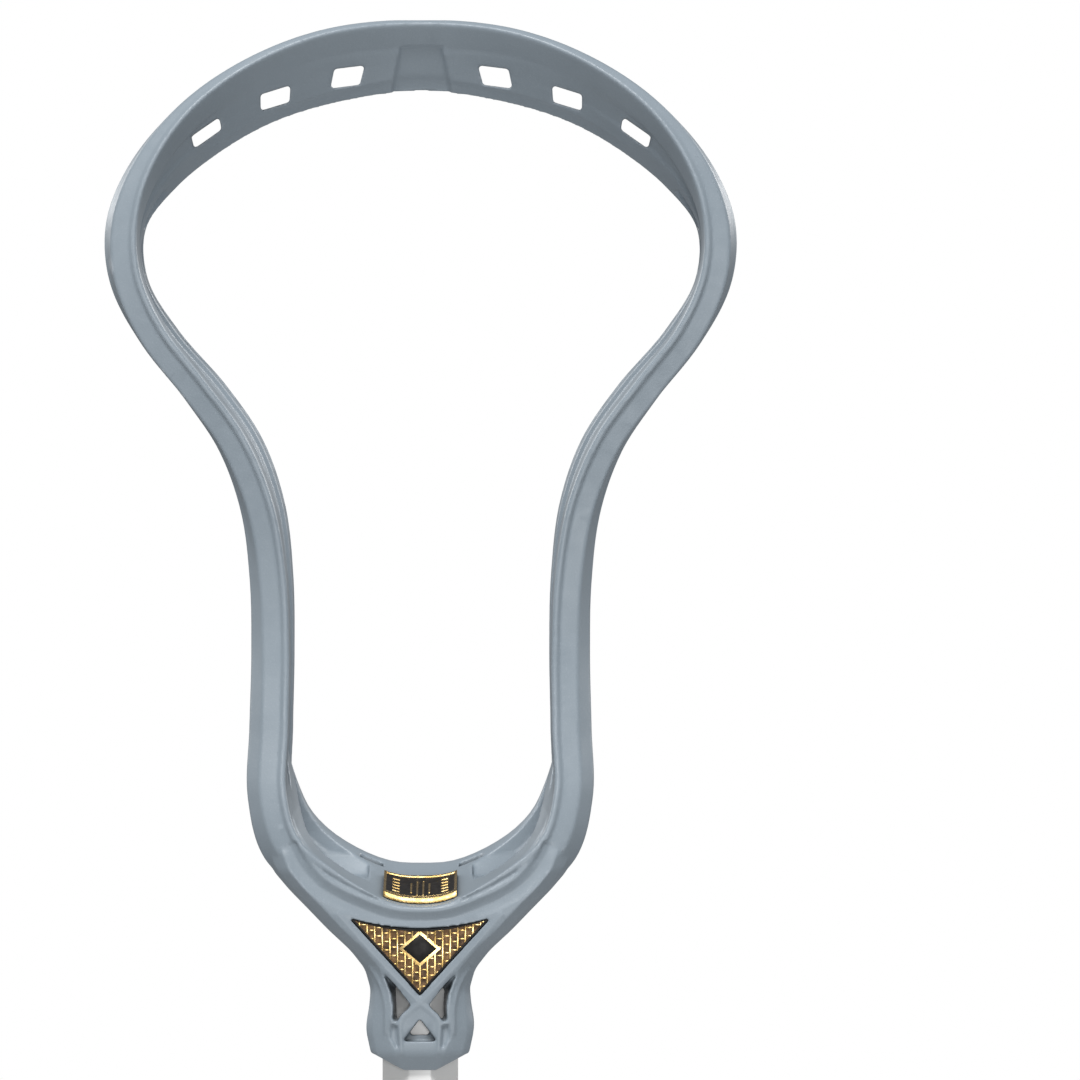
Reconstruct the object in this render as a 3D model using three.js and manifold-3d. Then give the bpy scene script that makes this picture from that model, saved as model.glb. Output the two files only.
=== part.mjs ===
// A lacrosse stick: a moulded head with truss sidewalls on an octagonal tube shaft.
// Millimetres. +Z runs up the stick from the butt to the scoop, the open face of the head looks along -Y,
// and the origin is on the shaft's axis at the underside of the butt cap.
import * as THREE from "three";
import { mergeVertices } from "three/addons/utils/BufferGeometryUtils.js";
import Module from "manifold-3d";

const wasm = await Module();
wasm.setup();

// ---------- driving dimensions ----------
const SHAFT_LENGTH = 762; // 30 inches
const SHAFT = { halfX: 11.2, halfY: 13.5, flatX: 3.4, flatY: 6.85, wall: 1.2 }; // octagon, a little deeper than wide
const SOCKET_DEPTH = 42; // how far the shaft reaches into the head
const GAP = 0.3; // clearance between neighbouring pieces
const CAP = { floor: 5, height: 36, wall: 2.4, inset: 1.4 };
const SCREW = { shank: 1.7, length: 15, head: 3.6, headHeight: 2.4, z: 14, driveSlot: 0.9, driveDepth: 1.1 };
const HEAD_Z = CAP.floor + GAP + SHAFT_LENGTH - SOCKET_DEPTH; // underside of the head's collar
const LOOP_SECTIONS = 104; // sections round the whole head

// ---------- solids and geometry ----------
function solid(geometry) {
  const bare = new THREE.BufferGeometry();
  bare.setAttribute("position", geometry.getAttribute("position"));
  if (geometry.index) bare.setIndex(geometry.index);
  const merged = mergeVertices(bare, 1e-4);
  return new wasm.Manifold(
    new wasm.Mesh({
      numProp: 3,
      vertProperties: new Float32Array(merged.attributes.position.array),
      triVerts: new Uint32Array(merged.index.array),
    }),
  );
}

function geometryOf(body) {
  const mesh = body.getMesh();
  const geometry = new THREE.BufferGeometry();
  geometry.setAttribute("position", new THREE.BufferAttribute(mesh.vertProperties, 3));
  geometry.setIndex(new THREE.BufferAttribute(mesh.triVerts, 1));
  geometry.computeVertexNormals();
  return geometry;
}

// A closed body through rings of equally many points. Rings run anticlockwise seen from the last ring.
function loft(rings, { loop = false } = {}) {
  const count = rings[0].length;
  const position = rings.flat().flatMap((p) => [p.x, p.y, p.z]);
  const index = [];
  const last = loop ? rings.length : rings.length - 1;
  for (let i = 0; i < last; i++) {
    const a = i * count;
    const b = ((i + 1) % rings.length) * count;
    for (let j = 0; j < count; j++) {
      const k = (j + 1) % count;
      index.push(a + j, a + k, b + k, a + j, b + k, b + j);
    }
  }
  if (!loop) {
    const flat = (ring) => {
      const normal = new THREE.Vector3();
      ring.forEach((p, j) => normal.add(new THREE.Vector3().crossVectors(p, ring[(j + 1) % count])));
      const drop = ["x", "y", "z"].reduce((m, k) => (Math.abs(normal[k]) > Math.abs(normal[m]) ? k : m), "x");
      const [u, v] = { x: ["y", "z"], y: ["z", "x"], z: ["x", "y"] }[drop];
      const outline = ring.map((p) => new THREE.Vector2(p[u], p[v]));
      const faces = THREE.ShapeUtils.triangulateShape(outline, []);
      const turned = THREE.ShapeUtils.area(outline) * normal[drop] < 0;
      return faces.map(([p, q, r]) => (turned ? [p, r, q] : [p, q, r]));
    };
    flat(rings[0]).forEach(([p, q, r]) => index.push(p, r, q));
    const end = (rings.length - 1) * count;
    flat(rings.at(-1)).forEach(([p, q, r]) => index.push(end + p, end + q, end + r));
  }
  const geometry = new THREE.BufferGeometry();
  geometry.setAttribute("position", new THREE.Float32BufferAttribute(position, 3));
  geometry.setIndex(index);
  return geometry;
}

function outline(points) {
  return new THREE.Shape(points.map(([x, y]) => new THREE.Vector2(x, y)));
}

// A prism of a (Y, Z) outline along X.
function prismX(points, from, to) {
  const g = new THREE.ExtrudeGeometry(outline(points), { depth: to - from, bevelEnabled: false });
  const turn = new THREE.Matrix4().makeBasis(
    new THREE.Vector3(0, 1, 0),
    new THREE.Vector3(0, 0, 1),
    new THREE.Vector3(1, 0, 0),
  );
  return solid(g.applyMatrix4(turn).translate(from, 0, 0));
}

// A prism of an (X, Z) outline along Y.
function prismY(points, from, to) {
  const g = new THREE.ExtrudeGeometry(outline(points), { depth: to - from, bevelEnabled: false });
  return solid(g.rotateX(Math.PI / 2).translate(0, to, 0));
}

function mirrored(points) {
  return points.map(([x, z]) => [-x, z]).reverse();
}

function octagon(grow = 0) {
  const { halfX, halfY, flatX, flatY } = SHAFT;
  const slip = grow * 0.42; // keeps the slanted sides parallel as the octagon grows
  const quarter = [
    [halfX + grow, flatY + slip],
    [flatX + slip, halfY + grow],
  ];
  const half = [...quarter, ...quarter.map(([x, y]) => [-x, y]).reverse()];
  return [...half, ...half.map(([x, y]) => [-x, -y])];
}

function octagonPrism(grow, from, to) {
  const g = new THREE.ExtrudeGeometry(outline(octagon(grow)), { depth: to - from, bevelEnabled: false });
  return g.translate(0, 0, from);
}

// ---------- the head's two rim curves ----------
// Right half, from the middle of the scoop down to the middle of the ball stop, in the head's own frame
// (Z from the collar's underside). Each row pairs a point of the face rail with one of the stringing rail.
const RIM = [
  { face: [0, 22, 313.3], back: [0, 35, 293.2], bulge: 7 },
  { face: [28, 17.2, 310.2], back: [23, 34.2, 290.4], bulge: 7 },
  { face: [51.6, 11.4, 300.7], back: [44, 32, 284.2], bulge: 7 },
  { face: [70.4, 6.4, 286.8], back: [60.5, 29.6, 275.2], bulge: 7 },
  { face: [82.8, 2.8, 269.8], back: [74.5, 29.4, 264.4], bulge: 7 },
  { face: [88.2, 0.2, 252], back: [84.2, 31.8, 252], bulge: 7 },
  { face: [87.4, -0.9, 236], back: [84, 37.4, 236], bulge: 6.4 },
  { face: [79.7, -0.6, 219.5], back: [74.6, 44.2, 220], bulge: 5.2 },
  { face: [66.8, 0.4, 203], back: [60, 50.4, 203], bulge: 5 },
  { face: [55.4, 1.3, 187], back: [49.4, 54, 187], bulge: 5.8 },
  { face: [48, 2.3, 168], back: [43, 56.5, 168], bulge: 6.8 },
  { face: [44.2, 2.6, 147], back: [40.6, 56.9, 147], bulge: 7.6 },
  { face: [43.1, 0.9, 125], back: [40.2, 55.1, 124], bulge: 8 },
  { face: [43.3, -5.6, 101], back: [40.6, 51.5, 102], bulge: 8.2 },
  { face: [43.6, -11.8, 81], back: [40.4, 47.2, 84], bulge: 8 },
  { face: [38.4, -15.8, 65.6], back: [35, 43.4, 72.4], bulge: 8 },
  { face: [22, -17.9, 53.4], back: [20.6, 39.6, 61.4], bulge: 6 },
  { face: [0, -18.4, 46.4], back: [0, 37.6, 57], bulge: 6 },
];

function rimCurve(side) {
  const right = RIM.map((row) => new THREE.Vector3(...row[side]));
  const left = right.slice(1, -1).reverse().map((p) => new THREE.Vector3(-p.x, p.y, p.z));
  return new THREE.CatmullRomCurve3([...right, ...left], true, "centripetal");
}
const FACE_RIM = rimCurve("face");
const BACK_RIM = rimCurve("back");

// The wall's frame at t, from 0 at the scoop's middle through 0.5 at the ball stop and back.
function wallFrame(t) {
  const face = FACE_RIM.getPoint(t);
  const back = BACK_RIM.getPoint(t);
  const depth = new THREE.Vector3().subVectors(back, face);
  const length = depth.length();
  depth.normalize();
  const along = FACE_RIM.getTangent(t).add(BACK_RIM.getTangent(t)).normalize();
  const outward = new THREE.Vector3().crossVectors(along, depth).normalize();
  return { face, depth, length, along, outward };
}

// ---------- the wall's section ----------
// [outward, inset] pairs round the section, first on a sidewall and then at the scoop. An inset is measured
// from the face rail; with a minus sign it is measured from the stringing rail's edge. The outward value of
// a pair marked bulge is added to the wall's own bulge.
const SECTION = [
  { side: [-2.7, 0], scoop: [-0.8, 0] },
  { side: [4.1, 0], scoop: [0.8, 0] },
  { side: [-0.2, 3.6], scoop: [4.6, 4.6], bulge: true },
  { side: [0, 9.6], scoop: [8, 9.6], bulge: true },
  { side: [-1.9, 10.8], scoop: [7, 11.4], bulge: true },
  { side: [-1.9, -13.6], scoop: [3.2, -10.4], bulge: true },
  { side: [-0.9, -12.4], scoop: [1.7, -9.4], bulge: true },
  { side: [-1.1, -8.2], scoop: [1.6, -8.2], bulge: true },
  { side: [1.6, -7.2], scoop: [1.5, -7.2] },
  { side: [1.5, 0], scoop: [1.4, 0], fromBack: true },
  { side: [-1.7, 0], scoop: [-1.2, 0], fromBack: true },
  { side: [-1.8, -7.2], scoop: [-1.2, -7.2] },
  { side: [-3.1, -8.6], scoop: [-1.1, -8.4] },
  { side: [-2.9, -12.6], scoop: [-1.1, -9.6] },
  { side: [-0.8, -13.8], scoop: [-1, -10.4] },
  { side: [-0.8, 10.8], scoop: [-1, 10.6] },
  { side: [-3.2, 9.6], scoop: [-0.9, 9] },
];
const SCOOP_SHARE = [1, 1, 0.92, 0.7, 0.35, 0.08]; // how far the first RIM rows take the scoop's section

// A value listed by RIM row, at t.
function alongRim(valueOf, t) {
  const row = Math.min(t, 1 - t) * 2 * (RIM.length - 1);
  const low = Math.min(Math.floor(row), RIM.length - 2);
  return THREE.MathUtils.lerp(valueOf(low), valueOf(low + 1), row - low);
}

function wallPoint(frame, outward, inset) {
  return frame.face
    .clone()
    .addScaledVector(frame.depth, inset)
    .addScaledVector(frame.outward, outward);
}

function wallRing(t) {
  const frame = wallFrame(t);
  const share = alongRim((row) => SCOOP_SHARE[row] ?? 0, t);
  const wallBulge = alongRim((row) => RIM[row].bulge, t);
  return SECTION.map(({ side, scoop, fromBack, bulge }) => {
    const inset = ([, v]) => (v < 0 || fromBack ? frame.length + v : v);
    return wallPoint(
      frame,
      THREE.MathUtils.lerp(side[0] + (bulge ? wallBulge : 0), scoop[0], share),
      THREE.MathUtils.lerp(inset(side), inset(scoop), share),
    );
  }).reverse();
}

function wall() {
  const rings = Array.from({ length: LOOP_SECTIONS }, (_, i) => wallRing(i / LOOP_SECTIONS));
  return solid(loft(rings, { loop: true }));
}

// ---------- throat and collar ----------
// [z, half width, front y, back y] up the throat.
const THROAT = [
  [0, 12.9, -14.8, 13],
  [5, 14.6, -17.8, 15.8],
  [11.5, 16, -18, 19.2],
  [14.5, 15.9, -18, 19.6],
  [19, 15.1, -18, 18.4],
  [24, 14.9, -18, 17.2],
  [30, 16.7, -18.1, 16.9],
  [35.5, 21, -18.4, 19.4],
  [41.5, 27.2, -18.6, 26],
  [47.5, 33, -18.7, 31.4],
  [53.5, 39, -18.2, 35.4],
  [59, 43.4, -17.2, 37.4],
  [65, 46, -15.4, 37.4],
  [72, 46.8, -11.6, 33.6],
  [80, 46, -6.8, 26],
];
const THROAT_CHAMFER = { front: 4.2, back: 6.5 };

function throatAt(z) {
  const above = THROAT.findIndex((row) => row[0] >= z);
  const [low, high] = [THROAT[Math.max(above - 1, 0)], THROAT[Math.max(above, 0)]];
  const share = high === low ? 0 : (z - low[0]) / (high[0] - low[0]);
  return low.map((v, k) => THREE.MathUtils.lerp(v, high[k], share));
}

function throatRing([z, half, front, back]) {
  const f = THROAT_CHAMFER.front;
  const b = THROAT_CHAMFER.back;
  const right = [
    [half - f, front],
    [half, front + f],
    [half, back - b],
    [half - b, back],
  ];
  const left = right.map(([x, y]) => [-x, y]).reverse();
  return [...right, ...left].map(([x, y]) => new THREE.Vector3(x, y, z));
}

function throat() {
  return solid(loft(THROAT.map(throatRing)));
}

// ---------- cutters ----------
// Right half of the bowl's lower edge, from the ball stop's middle up: at the face, and at the crest behind it.
const BOWL_FACE = [
  [0, 48.9],
  [8, 50.3],
  [15.5, 54],
  [24.3, 59],
  [32.5, 65.4],
  [37.8, 73],
  [40.2, 84],
  [40, 104],
];
const BOWL_CREST = [
  [0, 59.8],
  [9, 61],
  [18.4, 64.4],
  [27.6, 70.2],
  [33.4, 76.4],
  [36.6, 83.4],
  [38.2, 91],
  [38.4, 104],
];
// [y, share]: the edge's share of the way from BOWL_FACE to BOWL_CREST, a ramp that steepens and then levels.
const BOWL_RAMP = [[-40, -0.6], [-16, 0], [4, 0.42], [20, 1], [80, 1]];

// The free space over the ball stop, grown by `grow`.
function bowl(grow = 0) {
  const ring = ([y, share]) => {
    const right = BOWL_FACE.map(([x, z], i) => {
      const [cx, cz] = BOWL_CREST[i];
      const px = THREE.MathUtils.lerp(x, cx, share);
      const pz = THREE.MathUtils.lerp(z, cz, share);
      const out = new THREE.Vector2(px, pz - 104).normalize();
      return [px + grow * out.x, pz + grow * out.y];
    });
    const left = right.slice(1).map(([x, z]) => [-x, z]).reverse();
    return [...left, ...right].map(([x, z]) => new THREE.Vector3(x, y, z)).reverse();
  };
  return solid(loft(BOWL_RAMP.map(ring)));
}

function block(low, high) {
  const size = high.map((v, k) => v - low[k]);
  const centre = high.map((v, k) => (v + low[k]) / 2);
  return solid(new THREE.BoxGeometry(...size).translate(...centre));
}

// The truss windows of a sidewall, in (Y, Z). The lowest one also hollows the ball stop out, as far as the
// platform that carries the badge.
const WINDOWS = [
  [[11.8, 233.4], [13.8, 236.4], [16, 236.4], [19, 231], [31, 206.6], [29.6, 205], [11.8, 220.8]],
  [[12.4, 203], [16, 203.6], [33.6, 186.4], [35.6, 182.8], [34.4, 179], [17, 145.8], [14.4, 144.2], [12.8, 146.2]],
  [[38.6, 154], [38.3, 140.6], [37.2, 130], [34.2, 121.8], [12, 104], [10.4, 105.4]],
  [[27.2, 104.4], [30, 102.6], [6.4, 83.2], [4, 84.6]],
  [[24.8, 85.4], [14.2, 60], [10.4, 56.8], [-3.6, 55.8], [-6.2, 58], [-0.2, 65.4], [11.8, 74.2]],
];

function turnedRight(points) {
  const area = THREE.ShapeUtils.area(points.map(([x, y]) => new THREE.Vector2(x, y)));
  return area < 0 ? [...points].reverse() : points;
}

const PLATFORM_HALF = 15.5;

function windows() {
  return WINDOWS.flatMap((points) => [
    prismX(turnedRight(points), PLATFORM_HALF, 110),
    prismX(turnedRight(points), -110, -PLATFORM_HALF),
  ]);
}

// The t at which the right half of the stringing rail first fails the test.
function railPoint(passes, end = 0.5) {
  let [low, high] = [0, end];
  for (let i = 0; i < 30; i++) {
    const middle = (low + high) / 2;
    if (passes(BACK_RIM.getPoint(middle))) low = middle;
    else high = middle;
  }
  return { at: BACK_RIM.getPoint(low), along: BACK_RIM.getTangent(low) };
}

// A four-sided outline round (u, v): two sides run along the tangent, the other two lie along `across`.
function holeOutline([u, v], [tu, tv], across, length, width) {
  const scale = length / 2 / Math.hypot(tu, tv);
  const [au, av] = across.map((c) => (c * width) / 2);
  const corners = [[-1, -1], [1, -1], [1, 1], [-1, 1]];
  return turnedRight(corners.map(([l, w]) => [u + l * scale * tu + w * au, v + l * scale * tv + w * av]));
}

// The scoop's holes are open along Y, the sidewalls' along X.
const SCOOP_HOLES = { first: 22.6, pitch: 21.2, count: 3, length: 9.4, width: 4.6, inset: 6.3 };
const SIDE_HOLES = [
  { first: 254.2, pitch: 13.3, count: 4, length: 10.4, width: 3.6, inset: 5 },
  { first: 203.2, pitch: 10.05, count: 15, length: 6.4, width: 3.1, inset: 4.9 },
];

function scoopHoles() {
  const { first, pitch, count, length, width, inset } = SCOOP_HOLES;
  return Array.from({ length: count }, (_, i) => {
    const { at, along } = railPoint((p) => p.x < first + i * pitch, 0.15);
    const points = holeOutline([at.x, at.z + inset], [along.x, along.z], [0, 1], length, width);
    return [prismY(points, 15, 45), prismY(mirrored(points), 15, 45)];
  }).flat();
}

function sideHoles() {
  return SIDE_HOLES.flatMap(({ first, pitch, count, length, width, inset }) =>
    Array.from({ length: count }, (_, i) => {
      const { at, along } = railPoint((p) => p.z > first - i * pitch);
      const points = holeOutline([at.y - inset, at.z], [along.y, along.z], [1, 0], length, width);
      return [prismX(points, 24, 110), prismX(points, -110, -24)];
    }).flat(),
  );
}

// The recessed panel in each throat side, and the window under it that shows the shaft, in (Y, Z).
const SIDE_PANEL = [[-7.4, 55], [17.6, 55], [13.4, 48], [9, 40], [7.6, 33], [5.6, 16], [-4.8, 16], [-8.2, 33]];
const PANEL_DEPTH = 3.4;
const SHAFT_WINDOW = [[-4.6, 34], [6, 34], [6.2, 30.4], [3.4, 14.4], [-2.8, 14], [-4.8, 31]];

function sidePanels() {
  const ringAt = (pad) => (sign) =>
    turnedRight(SIDE_PANEL).map(([y, z]) => new THREE.Vector3(sign * (throatAt(z)[1] + pad), y, z));
  const inner = ringAt(-PANEL_DEPTH);
  const outer = ringAt(20);
  const right = solid(loft([inner(1), outer(1)]));
  const left = solid(loft([outer(-1), inner(-1)]));
  return [right, left];
}

// Openings in the throat's front, in (X, Z).
const SLIT = [[14.4, 33.8], [3.1, 19.6], [8.4, 14.6]];
const FRONT_PORT = [[0, 14.6], [-4.8, 8.8], [4.8, 8.8]];

// The triangular seat of the throat badge: its upper edge sags, its two sides are straight.
const SEAT = { half: 21.2, top: 45.4, sag: 3.2, bottom: 22.2, depth: 2.1, steps: 10 };

function seatOutline(inset) {
  const slope = (SEAT.top - SEAT.bottom) / SEAT.half;
  const half = SEAT.half - inset * 2.2;
  const top = SEAT.top - inset;
  const points = [[0, top - slope * half]];
  for (let i = 0; i <= SEAT.steps; i++) {
    const u = 1 - (2 * i) / SEAT.steps;
    points.push([u * half, top - SEAT.sag * (1 - u * u)]);
  }
  return points;
}

function collarCuts() {
  const side = [[4.8, -6], [18, -6], [18, 6.6], [13.4, 4.6], [4.8, 0]];
  const back = [[-9, -6], [26, -6], [26, 6.6], [13.4, 4.2], [-9, 0]];
  return [prismY(side, -40, 40), prismY(mirrored(side), -40, 40), prismX(back, -40, 40)];
}

// A round bore along Y, at height z, from the back of the collar inwards.
function boreY(radius, z, from, to) {
  const g = new THREE.CylinderGeometry(radius, radius, to - from, 20);
  return solid(g.translate(0, (from + to) / 2, 0)).translate([0, 0, z]);
}

const SCREW_SEAT_Y = 17.4; // bottom of the counterbore for the screw's head

function headSolid() {
  const face = -30;
  const cutters = [
    bowl(),
    ...windows(),
    ...scoopHoles(),
    ...sideHoles(),
    ...sidePanels(),
    prismX(turnedRight(SHAFT_WINDOW), -30, 30),
    prismY(turnedRight(SLIT), face, -6),
    prismY(turnedRight(mirrored(SLIT)), face, -6),
    prismY(turnedRight(FRONT_PORT), face, -6),
    prismY(turnedRight(seatOutline(0)), face, -18.4 + SEAT.depth),
    solid(octagonPrism(GAP, -8, SOCKET_DEPTH + GAP)),
    boreY(SCREW.shank + GAP, SCREW.z, 10, 30),
    boreY(SCREW.head + GAP, SCREW.z, SCREW_SEAT_Y, 30),
    ...collarCuts(),
  ];
  return cutters.reduce((body, cutter) => body.subtract(cutter), wall().add(throat()));
}

// ---------- materials ----------
function finish(color, roughness, metalness = 0) {
  return new THREE.MeshStandardMaterial({ color, roughness, metalness });
}
const HEAD_PLASTIC = finish(0x8e9aa5, 0.42);
const GOLD = finish(0xb98b33, 0.3, 0.9);
const BLACK_ENAMEL = finish(0x2b2622, 0.3, 0.2);
const SHAFT_WHITE = finish(0xe6e7e5, 0.35);
const STEEL = finish(0x9a9c9f, 0.35, 1);
const RUBBER = finish(0x222326, 0.8);

function part(name, geometry, material) {
  const mesh = new THREE.Mesh(geometry, material);
  mesh.name = name;
  return mesh;
}

// ---------- pieces ----------
function throatBadge() {
  const thick = 1.5;
  const front = -18.4 + SEAT.depth - GAP - thick;
  return part("throat_badge", geometryOf(prismY(turnedRight(seatOutline(GAP)), front, front + thick)), GOLD);
}

// A plate that follows the ramp of the ball stop between its two hollows.
const STOP_BADGE = { half: 10.9, thick: 1.4, front: -15.2, back: 9.4 };

function stopBadge() {
  const { half, thick, front, back } = STOP_BADGE;
  const slab = bowl(-GAP).subtract(bowl(-GAP - thick));
  const plate = slab.intersect(block([-half, front, 40], [half, back, 75]));
  return part("stop_badge", geometryOf(plate), BLACK_ENAMEL);
}

// A strip across the top of a side panel, lying on the panel's slanted floor.
const SIDE_STRIP = [[-6.9, 54.6], [17, 54.6], [13.4, 48.4], [-7.2, 48.4]];

function sideBadge(name, sign) {
  const thick = 1.1;
  const floor = (z) => throatAt(z)[1] - PANEL_DEPTH + 0.5;
  const ring = (lift) =>
    turnedRight(SIDE_STRIP).map(([y, z]) => new THREE.Vector3(sign * (floor(z) + lift), y, z));
  const rings = sign > 0 ? [ring(0), ring(thick)] : [ring(thick), ring(0)];
  return part(name, loft(rings), BLACK_ENAMEL);
}

function shaft() {
  const outer = solid(octagonPrism(0, 0, SHAFT_LENGTH));
  const inner = solid(octagonPrism(-SHAFT.wall, -5, SHAFT_LENGTH + 5));
  const screwHole = boreY(SCREW.shank + GAP, SHAFT_LENGTH - SOCKET_DEPTH + SCREW.z, 5, 20);
  const mesh = part("shaft", geometryOf(outer.subtract(inner).subtract(screwHole)), SHAFT_WHITE);
  mesh.position.z = CAP.floor + GAP;
  return mesh;
}

function headScrew() {
  const { shank, length, head, headHeight, driveSlot, driveDepth } = SCREW;
  const r = shank;
  const profile = [
    [0, 0],
    [0.3, 0],
    [r, 3],
    [r, length],
    [head, length],
    [head, length + headHeight * 0.5],
    [head * 0.62, length + headHeight],
    [0, length + headHeight],
  ].map(([x, y]) => new THREE.Vector2(x, y));
  const body = solid(new THREE.LatheGeometry(profile, 18));
  const top = length + headHeight;
  const arm = head * 0.55;
  const drive = [
    block([-arm, top - driveDepth, -driveSlot / 2], [arm, top + 1, driveSlot / 2]),
    block([-driveSlot / 2, top - driveDepth, -arm], [driveSlot / 2, top + 1, arm]),
  ];
  const mesh = part("head_screw", geometryOf(body.subtract(drive[0].add(drive[1]))), STEEL);
  mesh.position.set(0, SCREW_SEAT_Y + GAP - length, HEAD_Z + SCREW.z);
  return mesh;
}

function endCap() {
  const { floor, height, wall: thick, inset } = CAP;
  const rings = [
    [thick - inset + GAP, 0],
    [thick + GAP, inset],
    [thick + GAP, height - inset],
    [thick - inset / 2 + GAP, height],
  ].map(([grow, z]) => octagon(grow).map(([x, y]) => new THREE.Vector3(x, y, z)));
  const hollow = solid(octagonPrism(GAP, floor, height + 5));
  return part("end_cap", geometryOf(solid(loft(rings)).subtract(hollow)), RUBBER);
}

// ---------- the stick ----------
const head = new THREE.Group();
head.position.z = HEAD_Z;
head.add(
  part("head_frame", geometryOf(headSolid()), HEAD_PLASTIC),
  throatBadge(),
  stopBadge(),
  sideBadge("side_badge_right", 1),
  sideBadge("side_badge_left", -1),
);

const stick = new THREE.Group();
stick.add(head, shaft(), headScrew(), endCap());
export default stick;
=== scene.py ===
"""The looks of a lacrosse stick: a moulded nylon head on a white octagonal shaft.

Shapes are worked out in millimetres, in the head's own frame (z from the underside of its collar), and scaled
and lifted into the CAD frame when a piece is placed.
"""
import math

import bmesh
import bpy
import numpy as np
from mathutils import Matrix, Vector
from mathutils.bvhtree import BVHTree


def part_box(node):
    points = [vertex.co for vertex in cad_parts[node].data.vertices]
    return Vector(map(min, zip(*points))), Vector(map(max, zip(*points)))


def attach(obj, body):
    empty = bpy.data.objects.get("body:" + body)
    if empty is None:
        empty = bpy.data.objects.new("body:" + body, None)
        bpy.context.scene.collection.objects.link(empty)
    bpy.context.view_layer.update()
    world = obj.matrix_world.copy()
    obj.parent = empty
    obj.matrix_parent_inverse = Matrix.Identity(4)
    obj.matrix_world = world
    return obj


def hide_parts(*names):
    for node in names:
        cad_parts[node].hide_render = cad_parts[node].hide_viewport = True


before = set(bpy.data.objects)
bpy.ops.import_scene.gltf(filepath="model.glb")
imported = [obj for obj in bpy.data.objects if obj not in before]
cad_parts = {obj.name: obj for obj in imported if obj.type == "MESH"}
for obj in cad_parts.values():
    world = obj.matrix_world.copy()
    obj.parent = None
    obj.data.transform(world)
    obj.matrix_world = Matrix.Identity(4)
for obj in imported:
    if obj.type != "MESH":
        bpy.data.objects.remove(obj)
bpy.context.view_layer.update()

MM = 0.001
HEAD_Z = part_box("head_frame")[0].z / MM
SHAFT_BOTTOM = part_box("shaft")[0].z / MM
SHAFT_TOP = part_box("shaft")[1].z / MM
GAP = 0.3
FAR = 110  # past the head's sides
CORNERS = ((-1, -1), (1, -1), (1, 1), (-1, 1))
SIDES = (("right", 1), ("left", -1))

# ---------- small geometry ----------


def unit(v):
    return v / np.linalg.norm(v, axis=-1, keepdims=True)


def ramp(x, low, high):
    """0 below low, 1 above high, and a smooth step between."""
    t = np.clip((x - low) / (high - low), 0, 1)
    return t * t * (3 - 2 * t)


def spline(points, t, closed=False):
    """Points and directions at t in 0..1 on a centripetal Catmull-Rom curve."""
    p = np.asarray(points, float)
    ends = (p[-1:], p[:2]) if closed else (2 * p[0] - p[1], 2 * p[-1] - p[-2])
    spans = len(p) - (not closed)
    p = np.vstack([ends[0], p, ends[1]])
    x = np.asarray(t) * spans
    i = np.minimum(x.astype(int), spans - 1)
    w = (x - i)[:, None]
    q = [p[i + k] for k in range(4)]
    d = [np.sqrt(np.linalg.norm(q[k + 1] - q[k], axis=1, keepdims=True)) for k in range(3)]
    a = ((q[1] - q[0]) / d[0] - (q[2] - q[0]) / (d[0] + d[1]) + (q[2] - q[1]) / d[1]) * d[1]
    b = ((q[2] - q[1]) / d[1] - (q[3] - q[1]) / (d[1] + d[2]) + (q[3] - q[2]) / d[2]) * d[1]
    c2 = 3 * (q[2] - q[1]) - 2 * a - b
    c3 = 2 * (q[1] - q[2]) + a + b
    return q[1] + a * w + c2 * w**2 + c3 * w**3, a + 2 * c2 * w + 3 * c3 * w**2


def smooth_line(points, count):
    return spline(points, np.linspace(0, 1, count))[0]


def rounded(points, radius, steps=5):
    """A closed outline with its corners rounded. radius is one number, or one for each corner."""
    p = np.asarray(points, float)
    n = len(p)
    radii = np.broadcast_to(radius, (n,))
    out = []
    for i in range(n):
        before, after = p[i - 1] - p[i], p[(i + 1) % n] - p[i]
        la, lb = np.linalg.norm(before), np.linalg.norm(after)
        half = 0.5 * math.acos(np.clip(before @ after / (la * lb), -1, 1))
        reach = min(radii[i] / math.tan(half), 0.46 * la, 0.46 * lb)
        a, b = p[i] + before / la * reach, p[i] + after / lb * reach
        for s in np.linspace(0, 1, steps):
            out.append((1 - s) ** 2 * a + 2 * s * (1 - s) * p[i] + s * s * b)
    return np.array(out)


def circle(count):
    return np.linspace(0, 2 * math.pi, count, endpoint=False)


def turned(radius, y, angle):
    """A ring about the y axis. radius is one number, or one for each angle."""
    return np.column_stack([radius * np.cos(angle), np.full(len(angle), y), radius * np.sin(angle)])


def columns(rows, z):
    """The columns of a table at z, by its first column."""
    zs, *others = np.array(rows, float).T
    return [np.interp(z, zs, other) for other in others]


def line_distance(at, line, closed=False):
    """Distance from points (..., 2) to a line of points."""
    line = np.asarray(line, float)
    ends = np.roll(line, -1, axis=0) if closed else line[1:]
    best = np.full(at.shape[:-1], np.inf)
    for a, b in zip(line, ends):
        ab = b - a
        s = np.clip(((at - a) @ ab) / (ab @ ab), 0, 1)
        best = np.minimum(best, np.linalg.norm(at - a - s[..., None] * ab, axis=-1))
    return best


def inside_distance(at, outline):
    """Distance to a closed outline, positive inside it."""
    o = np.asarray(outline, float)
    u, v = at[..., 0], at[..., 1]
    inside = np.zeros(u.shape, bool)
    for (x0, y0), (x1, y1) in zip(o, np.roll(o, -1, axis=0)):
        if y0 != y1:
            inside ^= ((y0 > v) != (y1 > v)) & (u < (x1 - x0) * (v - y0) / (y1 - y0) + x0)
    return np.where(inside, 1, -1) * line_distance(at, o, closed=True)


# ---------- meshes ----------


def linked(name, data):
    obj = bpy.data.objects.new(name, data)
    bpy.context.scene.collection.objects.link(obj)
    return obj


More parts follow.
